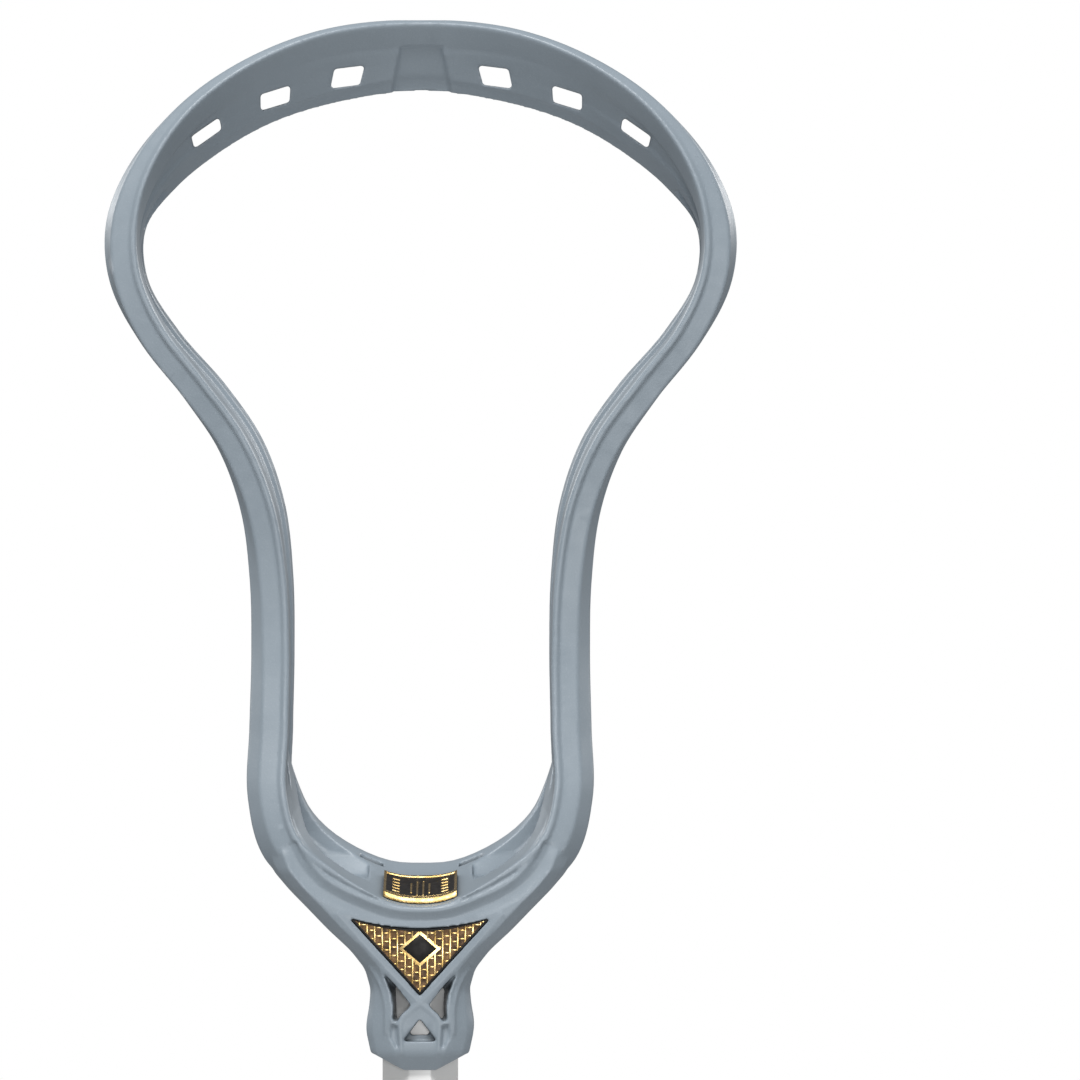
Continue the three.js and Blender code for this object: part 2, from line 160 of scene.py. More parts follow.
def make(name, verts, faces):
    mesh = bpy.data.meshes.new(name)
    mesh.from_pydata([tuple(map(float, v)) for v in verts], [], faces)
    bm = bmesh.new()
    bm.from_mesh(mesh)
    bmesh.ops.recalc_face_normals(bm, faces=bm.faces)
    if bm.calc_volume(signed=True) < 0:
        bmesh.ops.reverse_faces(bm, faces=bm.faces)
    bm.to_mesh(mesh)
    bm.free()
    return linked(name, mesh)


def grid_faces(rows, cols, row_loop, col_loop):
    i, j = np.meshgrid(np.arange(rows if row_loop else rows - 1), np.arange(cols if col_loop else cols - 1),
                       indexing="ij")
    i2, j2 = (i + 1) % rows, (j + 1) % cols
    return np.stack([i * cols + j, i * cols + j2, i2 * cols + j2, i2 * cols + j], -1).reshape(-1, 4).tolist()


def loft(rings, name="tool", loop=False):
    """A closed body through rings of equally many points, with flat ends unless it is a loop."""
    rings = np.asarray(rings, float)
    n, m = rings.shape[:2]
    faces = grid_faces(n, m, loop, True)
    if not loop:
        faces += [list(range(m)), list(range((n - 1) * m, n * m))]
    return make(name, rings.reshape(-1, 3), faces)


AXES = {"x": [2, 0, 1], "y": [0, 2, 1], "z": [0, 1, 2]}


def prism(outline, axis, low, high, name="tool"):
    """A prism of a (y, z), (x, z) or (x, y) outline along x, y or z."""
    o = np.asarray(outline, float)
    return loft([np.column_stack([o, np.full(len(o), level)])[:, AXES[axis]] for level in (low, high)], name)


def slab(name, top, bottom):
    """A closed sheet between two grids of points of the same size."""
    n, m = top.shape[:2]
    verts = np.vstack([top.reshape(-1, 3), bottom.reshape(-1, 3)])
    upper = grid_faces(n, m, False, False)
    faces = upper + [[k + n * m for k in reversed(f)] for f in upper]
    rim = [i * m for i in range(n)] + [(n - 1) * m + j for j in range(1, m)]
    rim += [i * m + m - 1 for i in reversed(range(n - 1))] + list(reversed(range(1, m - 1)))
    for a, b in zip(rim, rim[1:] + rim[:1]):
        faces.append([a, b, b + n * m, a + n * m])
    return make(name, verts, faces)


def moved(obj, by):
    obj.data.transform(Matrix.Translation(by))
    return obj


def bore(radius, z, low, high):
    """A round cutter along y, at a height."""
    return moved(loft([turned(radius, y, circle(40)) for y in (low, high)]), (0, 0, z))


def joined(name, objects):
    bm = bmesh.new()
    for o in objects:
        bm.from_mesh(o.data)
        bpy.data.objects.remove(o)
    mesh = bpy.data.meshes.new(name)
    bm.to_mesh(mesh)
    bm.free()
    return linked(name, mesh)


def applied(obj):
    bpy.context.view_layer.update()
    graph = bpy.context.evaluated_depsgraph_get()
    mesh = bpy.data.meshes.new_from_object(obj.evaluated_get(graph))
    obj.modifiers.clear()
    obj.data = mesh
    return obj


def modified(obj, kind, **settings):
    """Adds a modifier, which applied() then makes part of the mesh."""
    modifier = obj.modifiers.new(kind.lower(), kind)
    for key, value in settings.items():
        setattr(modifier, key, value)
    return obj


def cut(obj, cutters, operation="DIFFERENCE"):
    """Cuts obj by separate, closed cutters."""
    tool = joined("tool", cutters)
    applied(modified(obj, "BOOLEAN", solver="MANIFOLD", operation=operation, object=tool))
    bpy.data.objects.remove(tool)
    return obj


def both_sides(outline):
    """An (x, z) outline and its mirror image."""
    return [outline, [(-x, z) for x, z in outline]]


def bevelled(obj, width, segments=3, angle=35):
    return applied(modified(obj, "BEVEL", width=width, segments=segments, angle_limit=math.radians(angle)))


def creased(obj, degrees):
    bm = bmesh.new()
    bm.from_mesh(obj.data)
    for e in bm.edges:
        e.smooth = e.calc_face_angle(0) < math.radians(degrees)
    bm.to_mesh(obj.data)
    bm.free()


def place(obj, body, slot, material, node=None, lift=HEAD_Z, crease=38):
    """Scales a piece to metres, puts it in the CAD frame and makes it ride on a body. It may replace a node.

    Edges sharper than crease, in degrees, stay sharp. With None, no edge does.
    """
    if crease:
        creased(obj, crease)
    obj.data.transform(Matrix.Scale(MM, 4) @ Matrix.Translation((0, 0, lift)))
    obj.data.polygons.foreach_set("use_smooth", [True] * len(obj.data.polygons))
    obj.data.materials.clear()
    obj.data.materials.append(material)
    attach(obj, body)
    if node:
        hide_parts(node)


# ---------- the head's rims and wall section ----------
# Right half, from the middle of the scoop down to the middle of the ball stop:
# a point of the face rail, one of the stringing rail, the wall's bulge, and how far the scoop's section holds.
RIM = [
    ((0, 22, 313.3), (0, 35, 293.2), 7, 1),
    ((28, 17.2, 310.2), (23, 34.2, 290.4), 7, 1),
    ((51.6, 11.4, 300.7), (44, 32, 284.2), 7, 0.92),
    ((70.4, 6.4, 286.8), (60.5, 29.6, 275.2), 7, 0.7),
    ((82.8, 2.8, 269.8), (74.5, 29.4, 264.4), 7, 0.35),
    ((88.2, 0.2, 252), (84.2, 31.8, 252), 7, 0.08),
    ((87.4, -0.9, 236), (84, 37.4, 236), 6.4, 0),
    ((80.4, -0.6, 219.5), (74.6, 44.2, 220), 5.2, 0),
    ((67.8, 0.4, 203), (60, 50.4, 203), 5, 0),
    ((56.1, 1.3, 187), (49.4, 54, 187), 5.8, 0),
    ((48, 2.3, 168), (43, 56.5, 168), 6.8, 0),
    ((44.2, 2.6, 147), (40.6, 56.9, 147), 7.6, 0),
    ((43.1, 0.9, 125), (40.2, 55.1, 124), 8, 0),
    ((43.3, -5.6, 101), (40.6, 51.5, 102), 8.2, 0),
    ((43.6, -11.8, 81), (40.4, 47.2, 84), 8.2, 0),
    ((38.4, -15.8, 65.6), (35, 43.4, 72.4), 9.2, 0),
    ((22, -17.9, 53.4), (20.6, 39.6, 61.4), 6, 0),
    ((0, -18.4, 46.4), (0, 37.6, 57), 6, 0),
]
WALL_RINGS = 1160
EDGE = -1e-6  # an inset on the stringing rail's edge itself

# Round the section: outward and inset on a sidewall, the same at the scoop, and the steps to the next point.
# Negative insets are from the stringing edge.
SECTION = [
    (-4.0, 2.0, -1.1, 1.4, 1),
    (-3.8, 0.5, -1.0, 0.5, 1),
    (-3.3, 0.05, -0.8, 0.0, 2),
    (-2.2, 0.05, -0.3, 0.0, 1),
    (-1.6, 0.9, 0.2, 0.0, 6),
    (3.7, 0.9, 1.2, 0.0, 1),
    (4.4, 1.3, 2.2, 0.6, 4),
    (-1.0, 4.6, 3.7, 2.4, 2),
    (-0.2, 5.4, 4.7, 4.4, 3),
    (0, 7.0, 5.8, 7.2, 3),
    (-0.1, 9.2, 6.6, 9.8, 2),
    (-0.2, 10.8, 7.0, 11.8, 2),
    (-0.2, 11.6, 6.7, 12.9, 62),
    (-0.2, -14.0, 4.3, 14.7, 2),
    (-0.3, -13.0, 3.6, 15.1, 2),
    (-0.6, -12.0, 3.3, 15.9, 6),
    (-1.0, -8.8, 2.9, 17.2, 1),
    (-1.4, -8.2, 2.7, 18.0, 3),
    (2.0, -7.2, 2.4, 19.0, 2),
    (1.5, -6.6, 2.1, 20.0, 8),
    (1.4, -0.6, 1.4, -0.6, 1),
    (1.0, EDGE, 1.0, EDGE, 2),
    (-1.2, EDGE, -0.8, EDGE, 1),
    (-1.6, -0.6, -1.2, -0.6, 8),
    (-1.8, -7.0, -1.2, -7.0, 2),
    (-2.2, -8.6, -1.1, -8.4, 4),
    (-2.1, -12.6, -1.1, -9.6, 2),
    (-0.8, -13.8, -1.0, -10.4, 24),
    (-0.8, 10.8, -1.0, 10.6, 2),
    (-3.8, 9.0, -0.9, 9.0, 6),
]
BULGED = range(7, 18)  # where the wall's bulge is added to a sidewall's outward value
OUTER = (7, 20)  # the stretch of SECTION that is the wall's outer side
INNER = (23, 29)

# Truss windows, (y, z), with the radius of each corner.
WINDOWS = [
    ([(11.8, 233.4), (13.8, 237), (16.6, 236.2), (19, 231), (31.4, 206.4), (29, 204.6), (11.8, 220.8)],
     [1.5, 1.5, 1.5, 4, 1.2, 1.2, 1.6]),
    ([(12.4, 204.2), (17.2, 204), (34.4, 186.4), (36, 182.4), (34.4, 179), (17, 145.8), (14.6, 143.6),
      (12.8, 146)],
     [2, 3, 3, 2.5, 3, 1.5, 1.2, 1.5]),
    ([(38.8, 155), (38.3, 140.6), (37.2, 130), (34.4, 121.6), (12, 104), (10.2, 104.8)],
     [0.8, 6, 6, 4, 1, 1]),
    ([(27.6, 105.2), (30.4, 102.4), (6.4, 83.2), (4, 84.6)], [1.2, 1.8, 0.8, 0.8]),
]
# The lowest opening: (y, z) where it meets the bowl's rim, and (y, z) on the outer face.
LOW_OPENING = [
    (25.2, 86.4, 27.4, 88.4), (25.4, 85.4, 30.6, 88.6), (25.2, 82, 32.2, 83), (24.4, 78, 31.8, 77.4),
    (21.6, 70, 29.2, 69.8), (17.6, 63, 25.3, 62.4), (13.4, 57, 20.3, 56), (-4.2, 56, -4.2, 56),
    (-6.2, 58.2, -6.2, 58.2), (-5.4, 63.6, -5.4, 63.6), (-2.4, 67.2, -2.4, 67.2), (11.8, 76.2, 11.8, 76.2),
]
WINDOW_OUTLINES = [rounded(points, radii) for points, radii in WINDOWS]
LOW_INNER, LOW_OUTER = (rounded(np.array(LOW_OPENING)[:, k:k + 2], 1) for k in (0, 2))
LOW_FACE = 51  # x of the outer face round it
PLATFORM_HALF = 15.5
BOWL_WALL = 1.5

# Relief of a sidewall's outer face, (y, z).
WEB = [(8.6, 274.6), (17.2, 267), (17.8, 261), (19.4, 248), (24.4, 234),
       (80, 150), (80, 40), (-40, 40), (-40, 250)]
WEB_DEPTH = 1.9
FACE_RAIL = ([246, 262], [9.6, 6.8])  # its width, by z
STRINGING_RAIL = 12.9
GRIP_BOTTOM = 248.5
RIDGES = [  # line, half width, height
    ([(21.2, 232.6), (33.2, 206), (32.4, 203.4), (30, 202.4)], 0.75, 1.7),
    ([(10.4, 246), (10.4, 225.4), (11.4, 222)], 0.5, 1.0),
    ([(8.4, 218), (17.7, 209.3), (41, 185.4)], 0.7, 1.7),
    ([(36.6, 188), (38.8, 183.6), (38.2, 179.6), (17, 136), (14.6, 133.4), (12.4, 135.6), (12, 141)], 0.8, 1.5),
    ([(42.4, 177.6), (23, 140), (12, 122)], 0.6, 1.1),
    ([(43.8, 173.4), (6.6, 108.6)], 0.8, 1.8),
    ([(35.4, 118), (9.4, 98)], 0.6, 0.5),
    ([(31.6, 100.6), (4.4, 78.8)], 0.7, 0.6),
]
GROOVES = [  # line, half width, depth
    ([(16.4, 243), (21.4, 229), (31.8, 204.6)], 1.5, 1.3),
    ([(14.4, 217.4), (31.6, 200.4)], 2.0, 1.3),
    ([(37.2, 178.4), (17.6, 140.4)], 1.3, 0.6),
    ([(41.2, 178), (18, 134), (10.6, 120)], 0.8, 1.0),
    ([(42.8, 175.4), (22.4, 138), (9.4, 114.6)], 0.6, 0.8),
    ([(41.6, 166), (14, 112.6), (6, 100)], 1.6, 1.2),
    ([(41.8, 156), (41.8, 133.7), (40.6, 116), (37, 108.4), (30.6, 102)], 1.4, 1.7),
    ([(24.4, 88.6), (8, 75.6), (-3.4, 65.8)], 1.5, 1.0),
    ([(9.2, 212), (9, 150), (6.6, 124), (0.4, 100), (-5.4, 82)], 0.8, 0.7),
]
POCKETS = [  # outline, depth
    ([(33.4, 205.6), (40.2, 196), (42.2, 186.4), (32.4, 196.4)], 1.7),
    ([(9.6, 216), (18, 206.6), (12.8, 205.6), (10, 205.8)], 1.4),
    ([(25.4, 104.6), (35.2, 112.6), (30.6, 102.6)], 2.2),
]


def sidewall_relief(y, z, inset, length, share):
    """What the outer face gains, in millimetres."""
    at = np.stack([y, z], -1)
    border = np.minimum(inset - np.interp(z, *FACE_RAIL), length - inset - STRINGING_RAIL)
    web = np.minimum(border, inside_distance(at, WEB))
    relief = -WEB_DEPTH * ramp(web, 0, 0.9)
    on_web = ramp(web, 0.2, 1.2)
    relief -= 0.7 * ramp(web, 0, 0.6) * (1 - ramp(border, 0.9, 1.8))
    relief -= 0.9 * ramp(web, 0.3, 1.0) * ramp(z, GRIP_BOTTOM - 0.8, GRIP_BOTTOM)
    for line, half, height in RIDGES:
        relief += on_web * height * (1 - ramp(line_distance(at, line), 0.25 * half, 1.9 * half))
    for line, half, depth in GROOVES:
        relief -= on_web * depth * (1 - ramp(line_distance(at, line), 0.4 * half, 1.15 * half))
    for outline, depth in POCKETS:
        relief -= on_web * depth * ramp(inside_distance(at, outline), -0.4, 0.9)
    for outline in WINDOW_OUTLINES + [LOW_OUTER]:
        relief -= on_web * 0.9 * (1 - ramp(-inside_distance(at, outline), 0, 1.3))
    return relief * (1 - ramp(share, 0.3, 0.7))


# ---------- the scoop's own relief ----------
SCOOP_RECESS = {"top": 6.8, "half_top": 6.1, "half_bottom": 9.2, "depth": 0.8}


def scoop_front_relief(x, inset, length, share):
    """The middle recess and the step under the lacing holes. Positive is towards the ball."""
    top, half_top, half_bottom, drop = SCOOP_RECESS.values()
    half = half_top + (half_bottom - half_top) * (inset - top) / (length - top)
    recess = np.minimum(half - np.abs(x), inset - top)
    rail = np.exp(-((np.abs(x) - half - 0.6) ** 2) / 0.5) * ramp(inset, top - 3, top)
    step = length - inset
    line = np.exp(-((step - 4.9) ** 2) / 0.25) * ramp(np.abs(x), half, half + 2)
    below = 1 - ramp(step, 4.2, 5.0)
    crease = np.exp(-((inset - 8.6) ** 2) / 0.3)
    relief = -drop * ramp(recess, 0, 0.8) + 0.3 * rail + 0.35 * line - 0.25 * below - 0.2 * crease
    return relief * ramp(share, 0.5, 0.8)


def by_row(values, t):
    """Values listed by RIM row, at t, eased at the rows."""
    row = np.minimum(t, 1 - t) * 2 * (len(RIM) - 1)
    found = np.interp(row, range(len(RIM)), values)
    width = len(t) // (2 * len(RIM))
    kernel = np.hanning(width + 2)[1:-1]
    padded = np.concatenate([found[-width:], found, found[:width]])
    return np.convolve(padded, kernel / kernel.sum(), "same")[width:-width]


def rim_curve(index, t):
    right = [np.array(row[index], float) for row in RIM]
    left = [p * (-1, 1, 1) for p in right[-2:0:-1]]
    return spline(right + left, t, closed=True)


def wall_frame(t):
    face, face_dir = rim_curve(0, t)
    back, back_dir = rim_curve(1, t)
    depth = back - face
    length = np.linalg.norm(depth, axis=1)
    along = unit(unit(face_dir) + unit(back_dir))
    depth = unit(depth)
    return face, depth, length, unit(np.cross(along, depth))


def wall():
    t = np.arange(WALL_RINGS) / WALL_RINGS
    face, depth, length, outward = wall_frame(t)
    share, bulge = by_row([row[3] for row in RIM], t), by_row([row[2] for row in RIM], t)

    def corner(k):
        side_out, side_in, scoop_out, scoop_in, _ = SECTION[k]
        side_out = side_out + bulge * (k in BULGED)
        side_in, scoop_in = (length + v if v < 0 else v for v in (side_in, scoop_in))
        return side_out * (1 - share) + scoop_out * share, side_in * (1 - share) + scoop_in * share

    zone = np.concatenate([k + np.arange(row[4]) / row[4] for k, row in enumerate(SECTION)])
    k = zone.astype(int)
    after, share_after = (k + 1) % len(SECTION), zone - k
    corners = np.stack([corner(j) for j in range(len(SECTION))], -1)
    out, inset = corners[..., k] * (1 - share_after) + corners[..., after] * share_after

    def points():
        return face[:, None] + inset[..., None] * depth[:, None] + out[..., None] * outward[:, None]

    p = points()
    x, y, z = p[..., 0], p[..., 1], p[..., 2]
    long, part = length[:, None] + 0 * out, share[:, None] + 0 * out
    outer, inner = ((zone >= low) & (zone <= high) for low, high in (OUTER, INNER))
    out = out + outer * sidewall_relief(y, z, inset, long, part) * ramp(np.abs(x), 27, 33)
    out = out - inner * scoop_front_relief(x, inset, long, part)
    return loft(points(), "wall", True)


# ---------- lacing holes ----------
SCOOP_HOLES = [  # (x, z)
    [(17, 300.5), (26.2, 299.3), (27.4, 293.5), (18.6, 294.7)],
    [(39.3, 294.4), (48.3, 291.5), (48.3, 286.7), (39.7, 289.4)],
    [(60.6, 284.7), (69, 278.8), (68.1, 275.1), (60, 280.9)],
]
SIDE_HOLES = [  # heights, length, width, distance from the stringing edge, corner radius
    ((242.5, 228.3, 215.4), 11.4, 5.7, 6.1, 1.5),
    ((203.5, 193.2, 183, 173, 163.1, 153.2, 143.5, 133.7, 123.9, 114.2, 104.5, 94.8), 8.2, 4.1, 5.9, 1.4),
    ((85.7, 76, 66.2), 7.6, 4.1, 5.6, 1.4),
]
TOP_HOLE = [(21.8, 262.8), (25.8, 262.3), (27.7, 260.2), (29.8, 252.6), (28.8, 251.2), (24.8, 251.6)]
LAST_HOLE = [(33.2, 58), (31, 57.4), (29.2, 52.4), (30.2, 49.8), (32.4, 51.4)]  # (y, z), under the last of them


def lacing_holes():
    at, along = rim_curve(1, np.linspace(0, 0.5, 4000))
    tools = [prism(side, "y", 15, 45) for corners in SCOOP_HOLES for side in both_sides(rounded(corners, 0.5))]
    for heights, length, width, inset, radius in SIDE_HOLES:
        for z in heights:
            k = np.argmax(at[:, 2] <= z)
            reach = unit(along[k, [1, 2]]) * length / 2
            corners = [(at[k, 1] - inset + b * width / 2, z) + a * reach for a, b in CORNERS]
            tools += beside(rounded(corners, radius), min(24, at[k, 0] - 12))
    return tools


def last_hole():
    return [prism(rounded(LAST_HOLE, 0.8), "x", -FAR, FAR)]


def beside(outline, near=PLATFORM_HALF):
    """Prisms along x of a (y, z) outline, one on each side, that keep clear of the ball stop's platform."""
    return [prism(outline, "x", *span) for span in ((near, FAR), (-FAR, -near))]


def low_openings():
    """The lowest opening of each sidewall. Its back slants inwards to the rim of the bowl."""
    x, z = np.array(BOWL_CREST, float).T
    rim = np.maximum(np.interp(LOW_INNER[:, 1], z, x), PLATFORM_HALF) + BOWL_WALL
    tools = []
    for sign in (1, -1):
        levels = (PLATFORM_HALF, LOW_INNER), (rim, LOW_INNER), (LOW_FACE, LOW_OUTER), (FAR, LOW_OUTER)
        tools.append(loft([np.column_stack([sign * (at + 0 * rim), line]) for at, line in levels]))
    return tools


# ---------- the bowl over the ball stop ----------
BOWL_FACE = [(0, 49.1), (8, 50.1), (15.5, 53.7), (24.3, 59), (32.5, 65.4), (37.8, 73), (40.4, 84),
             (41.8, 94), (42.8, 108)]
BOWL_CREST = [(0, 60.3), (9, 60.9), (18.4, 64.4), (27.6, 70.2), (33.4, 76.4), (36.8, 83.4),
              (39.6, 92), (42.8, 108)]
BOWL_CENTRE_Z = 108
BOWL_RAMP = ([-40, -16, 4, 14, 28, 80], [-0.6, 0, 0.42, 0.7, 1, 1])


def bowl_share(y):
    """How far the bowl's edge has gone from BOWL_FACE to BOWL_CREST at y: a ramp with eased bends."""
    reach = np.linspace(-2.5, 2.5, 11)
    return np.mean([np.interp(y + r, *BOWL_RAMP) for r in reach], axis=0)


def bowl_line(y, grow, low=False):
    """The bowl's lower edge at y, (x, z) from left to right, grown outwards. The low one stops at z 84."""
    halves = [BOWL_FACE[:7], BOWL_CREST[:6]] if low else [BOWL_FACE, BOWL_CREST]
    face, crest = (smooth_line([(-x, z) for x, z in half[:0:-1]] + half, 41) for half in halves)
    line = face + (crest - face) * bowl_share(y)
    return line + grow * unit(line - (0, BOWL_CENTRE_Z))


def bowl_tool(low=False):
    levels = np.concatenate([[-40, -24], np.arange(-20, 32.1, 1.0), [80]])
    return loft([[(x, y, z) for x, z in bowl_line(y, 0, low)] for y in levels])


# ---------- throat and collar ----------
# z, half width, front y, back y
THROAT = [
    (0, 12.9, -14.8, 13), (5, 14.6, -17.8, 15.8), (11.5, 16, -18, 19.2), (14.5, 15.9, -18, 19.6),
    (19, 15.1, -18, 18.4), (24, 14.7, -18, 17.2), (30, 16.4, -18.1, 16.9), (35.5, 20.7, -18.2, 19.4),
    (41.5, 27.2, -18.2, 26), (47.5, 33, -18.2, 31.4), (53.5, 38.9, -17.8, 35.4), (59, 43.6, -16.8, 37.4),
    (65, 46.2, -15, 37.8), (72, 46.8, -11.2, 38), (80, 45, -6.4, 37), (92, 44.6, -1, 36), (104, 44.4, 4, 34),
]
# z, how far the front's and the back's bevels reach in x and in y
THROAT_BEVEL = [(0, 7.2, 3.4, 7, 5), (12, 7.6, 4.2, 7, 6), (20, 6, 4.6, 6.5, 6.5), (34, 4.6, 5.4, 6.5, 6.5),
                (50, 5, 5.6, 6.5, 6.5), (104, 5, 5, 6.5, 6.5)]


def throat_at(z):
    """Half width, front y and back y."""
    return np.mean([columns(THROAT, z + r) for r in (-1, 0, 1)], axis=0)


def front_bevel(z):
    """The throat's front bevel, (x, y), from the flat outwards."""
    half, front, _ = throat_at(z)
    fx, fy, _, _ = columns(THROAT_BEVEL, z)
    return [(half - fx, front), (half - 0.25 * fx, front + 0.7 * fy), (half, front + 1.25 * fy)]


def throat():
    rings = []
    for z in np.linspace(0, THROAT[-1][0], 131):
        half, _, back = throat_at(z)
        _, _, bx, by = columns(THROAT_BEVEL, z)
        right = front_bevel(z) + [(half, back - by), (half - 0.3 * bx, back - 0.42 * by), (half - bx, back)]
        rings.append([(x, y, z) for x, y in right + [(-x, y) for x, y in right[::-1]]])
    return loft(rings)


SHAFT = {"half_x": 11.2, "half_y": 13.5, "flat_x": 3.4, "flat_y": 6.85, "wall": 1.2}
OCTAGON_SLIP = 0.42  # how far a corner slides along a flat for each millimetre that the octagon grows
SOCKET_DEPTH = SHAFT_TOP - HEAD_Z


def octagon(grow=0.0, radius=0.0):
    """The shaft's section, grown on every side."""
    half_x, half_y, flat_x, flat_y, _ = SHAFT.values()
    slip = grow * OCTAGON_SLIP
    quarter = [(half_x + grow, flat_y + slip), (flat_x + slip, half_y + grow)]
    half = quarter + [(-x, y) for x, y in reversed(quarter)]
    points = half + [(-x, -y) for x, y in half]
    return rounded(points, radius) if radius else np.array(points)


def octagonal(name, steps, radius, loop=False):
    """A body through octagons, from (growth, z) pairs."""
    return loft([[(x, y, z) for x, y in octagon(grow, radius)] for grow, z in steps], name, loop)


# z, front y, back y
SIDE_PANEL = [(5.4, -5, 4.4), (10, -4.2, 3.9), (15, -3.9, 3.8), (22.8, -4.9, 5), (33, -7.2, 7.8),
              (38.5, -8, 11.2), (48, -8, 14.9), (55.2, -7.6, 19.4)]
PANEL_DEPTH = ([5, 13, 24, 55], [1.2, 1.3, 3.2, 3.4])
PANEL_FLOOR = 12.9  # the least half width of what is left
SHAFT_WINDOW = [(-4, 35), (4.8, 35), (6.2, 31.4), (3.2, 14.2), (-3.2, 14), (-4.9, 31)]
SLIT = [(16.9, 35.6), (7.8, 26.1), (2.7, 19.4), (5.1, 16.1), (7.4, 14.1), (8.5, 14.7), (8.3, 18.9),
        (8.9, 22.3), (10.9, 27.1), (14, 33)]
SLIT_FLOOR = [(7.2, 24.9), (6.2, 23.7), (2.8, 19.5), (4.9, 16.6), (6.2, 15.3), (6.9, 15.7), (6.9, 18),
              (6.9, 20), (7, 22), (7.2, 24)]
SLIT_LEVELS = (-20, -10.6, -6)  # where the slit has its front outline, and between which it has its floor's
FRONT_PORT = [(0, 15.4), (-5.2, 8.6), (5.2, 8.6)]
DEEP_PORT = [(0, 15.2), (-3.5, 10.5), (3.5, 10.5)]
CREST_POCKET = [(11.3, 19.4), (18.4, 19.4), (18.2, 24.6), (11.5, 24.6)]  # (x, y)
SEAT = {"half": 21.2, "top": 45.4, "sag": 3.2, "bottom": 22.2, "front": -18.4, "depth": 2.1}


def seat_outline(inset, steps=16):
    """The throat badge's outline, (x, z): straight sides and a sagging upper edge."""
    half, top, sag, bottom, _, _ = SEAT.values()
    slope = (top - bottom) / half
    half, top = half - 2.2 * inset, top - inset
    upper = [(u * half, top - sag * (1 - u * u)) for u in np.linspace(1, -1, steps)]
    return [(0, top - slope * half)] + upper


def panel_floor(z):
    return np.maximum(throat_at(z)[0] - np.interp(z, *PANEL_DEPTH), PANEL_FLOOR)


def side_panel(sign):
    """The recess in a side of the throat, from the badge to the collar, with sloping edges."""
    rings = []
    for z, a, b in smooth_line(SIDE_PANEL, 90):
        floor = float(panel_floor(z))
        rise = throat_at(z)[0] + 0.2 - floor
        fore, aft = min(1.7, 0.2 * (b - a)), min(4.4, 0.3 * (b - a))
        line = [(a, 20), (a, rise), (a + 0.4 * fore, 0.45 * rise), (a + fore, 0), (b - aft, 0),
                (b - 0.5 * aft, 0.4 * rise), (b, rise), (b, 20)]
        rings.append([(sign * (floor + x), y, z) for y, x in line])
    return loft(rings)


# The bright lip of the ball stop, from the middle to the right: x, y of the surface it stands on, and z.
LIP = [(0, -18.2, 47.4), (8, -18.2, 48.1), (18, -18.05, 51.6), (27, -17.6, 56.3), (31, -16.9, 60),
       (34, -16.1, 64), (36.2, -15, 68.6)]
LIP_BEAD = [(math.cos(a), math.sin(a) + 0.55) for a in circle(12)]  # (how far down, y)
# A shallow hollow under the lip: its upper side leans back, and its lower side leans up to the badge.
LIP_CHANNEL = [(0.8, 0), (3, 0.9), (6, 0), (6.4, -4), (0.4, -4)]


def along_lip(section):
    """A body with a section of (how far down, y) points, from the lip's left end to its right one."""
    line = smooth_line([(-x, y, z) for x, y, z in LIP[:0:-1]] + LIP, 91)
    along = unit(np.gradient(line[:, [0, 2]], axis=0))
    down = np.column_stack([along[:, 1], 0 * along[:, 0], -along[:, 0]])
    return loft([[p + d * n + (0, y, 0) for d, y in section] for p, n in zip(line, down)])


COLLAR_SIDE = [(4.8, -6), (18, -6), (18, 6.6), (13.4, 4.6), (4.8, 0)]  # (x, z), cut off under the collar
COLLAR_BACK = [(-9, -6), (26, -6), (26, 6.6), (13.4, 4.2), (-9, 0)]  # (y, z)


def strap(line, half, lift, back):
    """A strap of constant width along a line of (x, z) points, raised over the throat's front."""
    line = np.asarray(line, float)
    along = unit(np.gradient(line, axis=0))
    across = np.column_stack([-along[:, 1], along[:, 0]])
    rings = []
    for (x, z), (dx, dz) in zip(line, across * half):
        front = np.interp(abs(x), *zip(*front_bevel(z))) - lift
        section = [(1, back), (1, front + 0.8), (0.55, front), (-0.55, front), (-1, front + 0.8), (-1, back)]
        rings.append([(x + k * dx, y, z + k * dz) for k, y in section])
    return loft(rings)


SCREW_Z = 14
SCREW = {"shank": 1.7, "length": 15, "head": 3.6, "head_height": 2.4, "seat_y": 17.4}

# The front's straps, (x, z): beside the badge and across to the port, and the uprights of the collar.
STRAPS = [  # line, points along it, half width, back
    ([(24.6, 46.6), (13.4, 34), (0.4, 20.4), (-5.6, 15.2), (-5.8, 10), (-5.4, 4.6)], 40, 0.7, -14),
    ([(14.6, 31), (12.2, 26.8), (10.6, 22.6), (9.8, 18), (9.9, 11)], 24, 0.9, -11),
]
STRAP_LIFT = 0.3


def throat_straps():
    return [strap(smooth_line([(sign * x, z) for x, z in line], count), half, STRAP_LIFT, back)
            for sign in (1, -1) for line, count, half, back in STRAPS]


VOXEL = 0.45
SOFTENING = 3  # passes
HEAD_TRIANGLES = 188000


def fused(obj):
    """One smooth skin over everything in obj, with softened edges."""
    modified(obj, "REMESH", mode="VOXEL", voxel_size=VOXEL)
    applied(modified(obj, "SMOOTH", factor=0.5, iterations=SOFTENING))
    triangles = sum(len(p.vertices) - 2 for p in obj.data.polygons)
    return applied(modified(obj, "DECIMATE", ratio=min(1, HEAD_TRIANGLES / triangles)))


COLLAR_FACET = [(8.7, 14), (6.4, 13.2), (6.2, 5.4), (9.1, 9.6)]


def socket_tool():
    return [prism(rounded(octagon(GAP), 0.6, 3), "z", -8, SOCKET_DEPTH + GAP)]


def seat_tool():
    return [prism(seat_outline(0), "y", -30, SEAT["front"] + SEAT["depth"])]


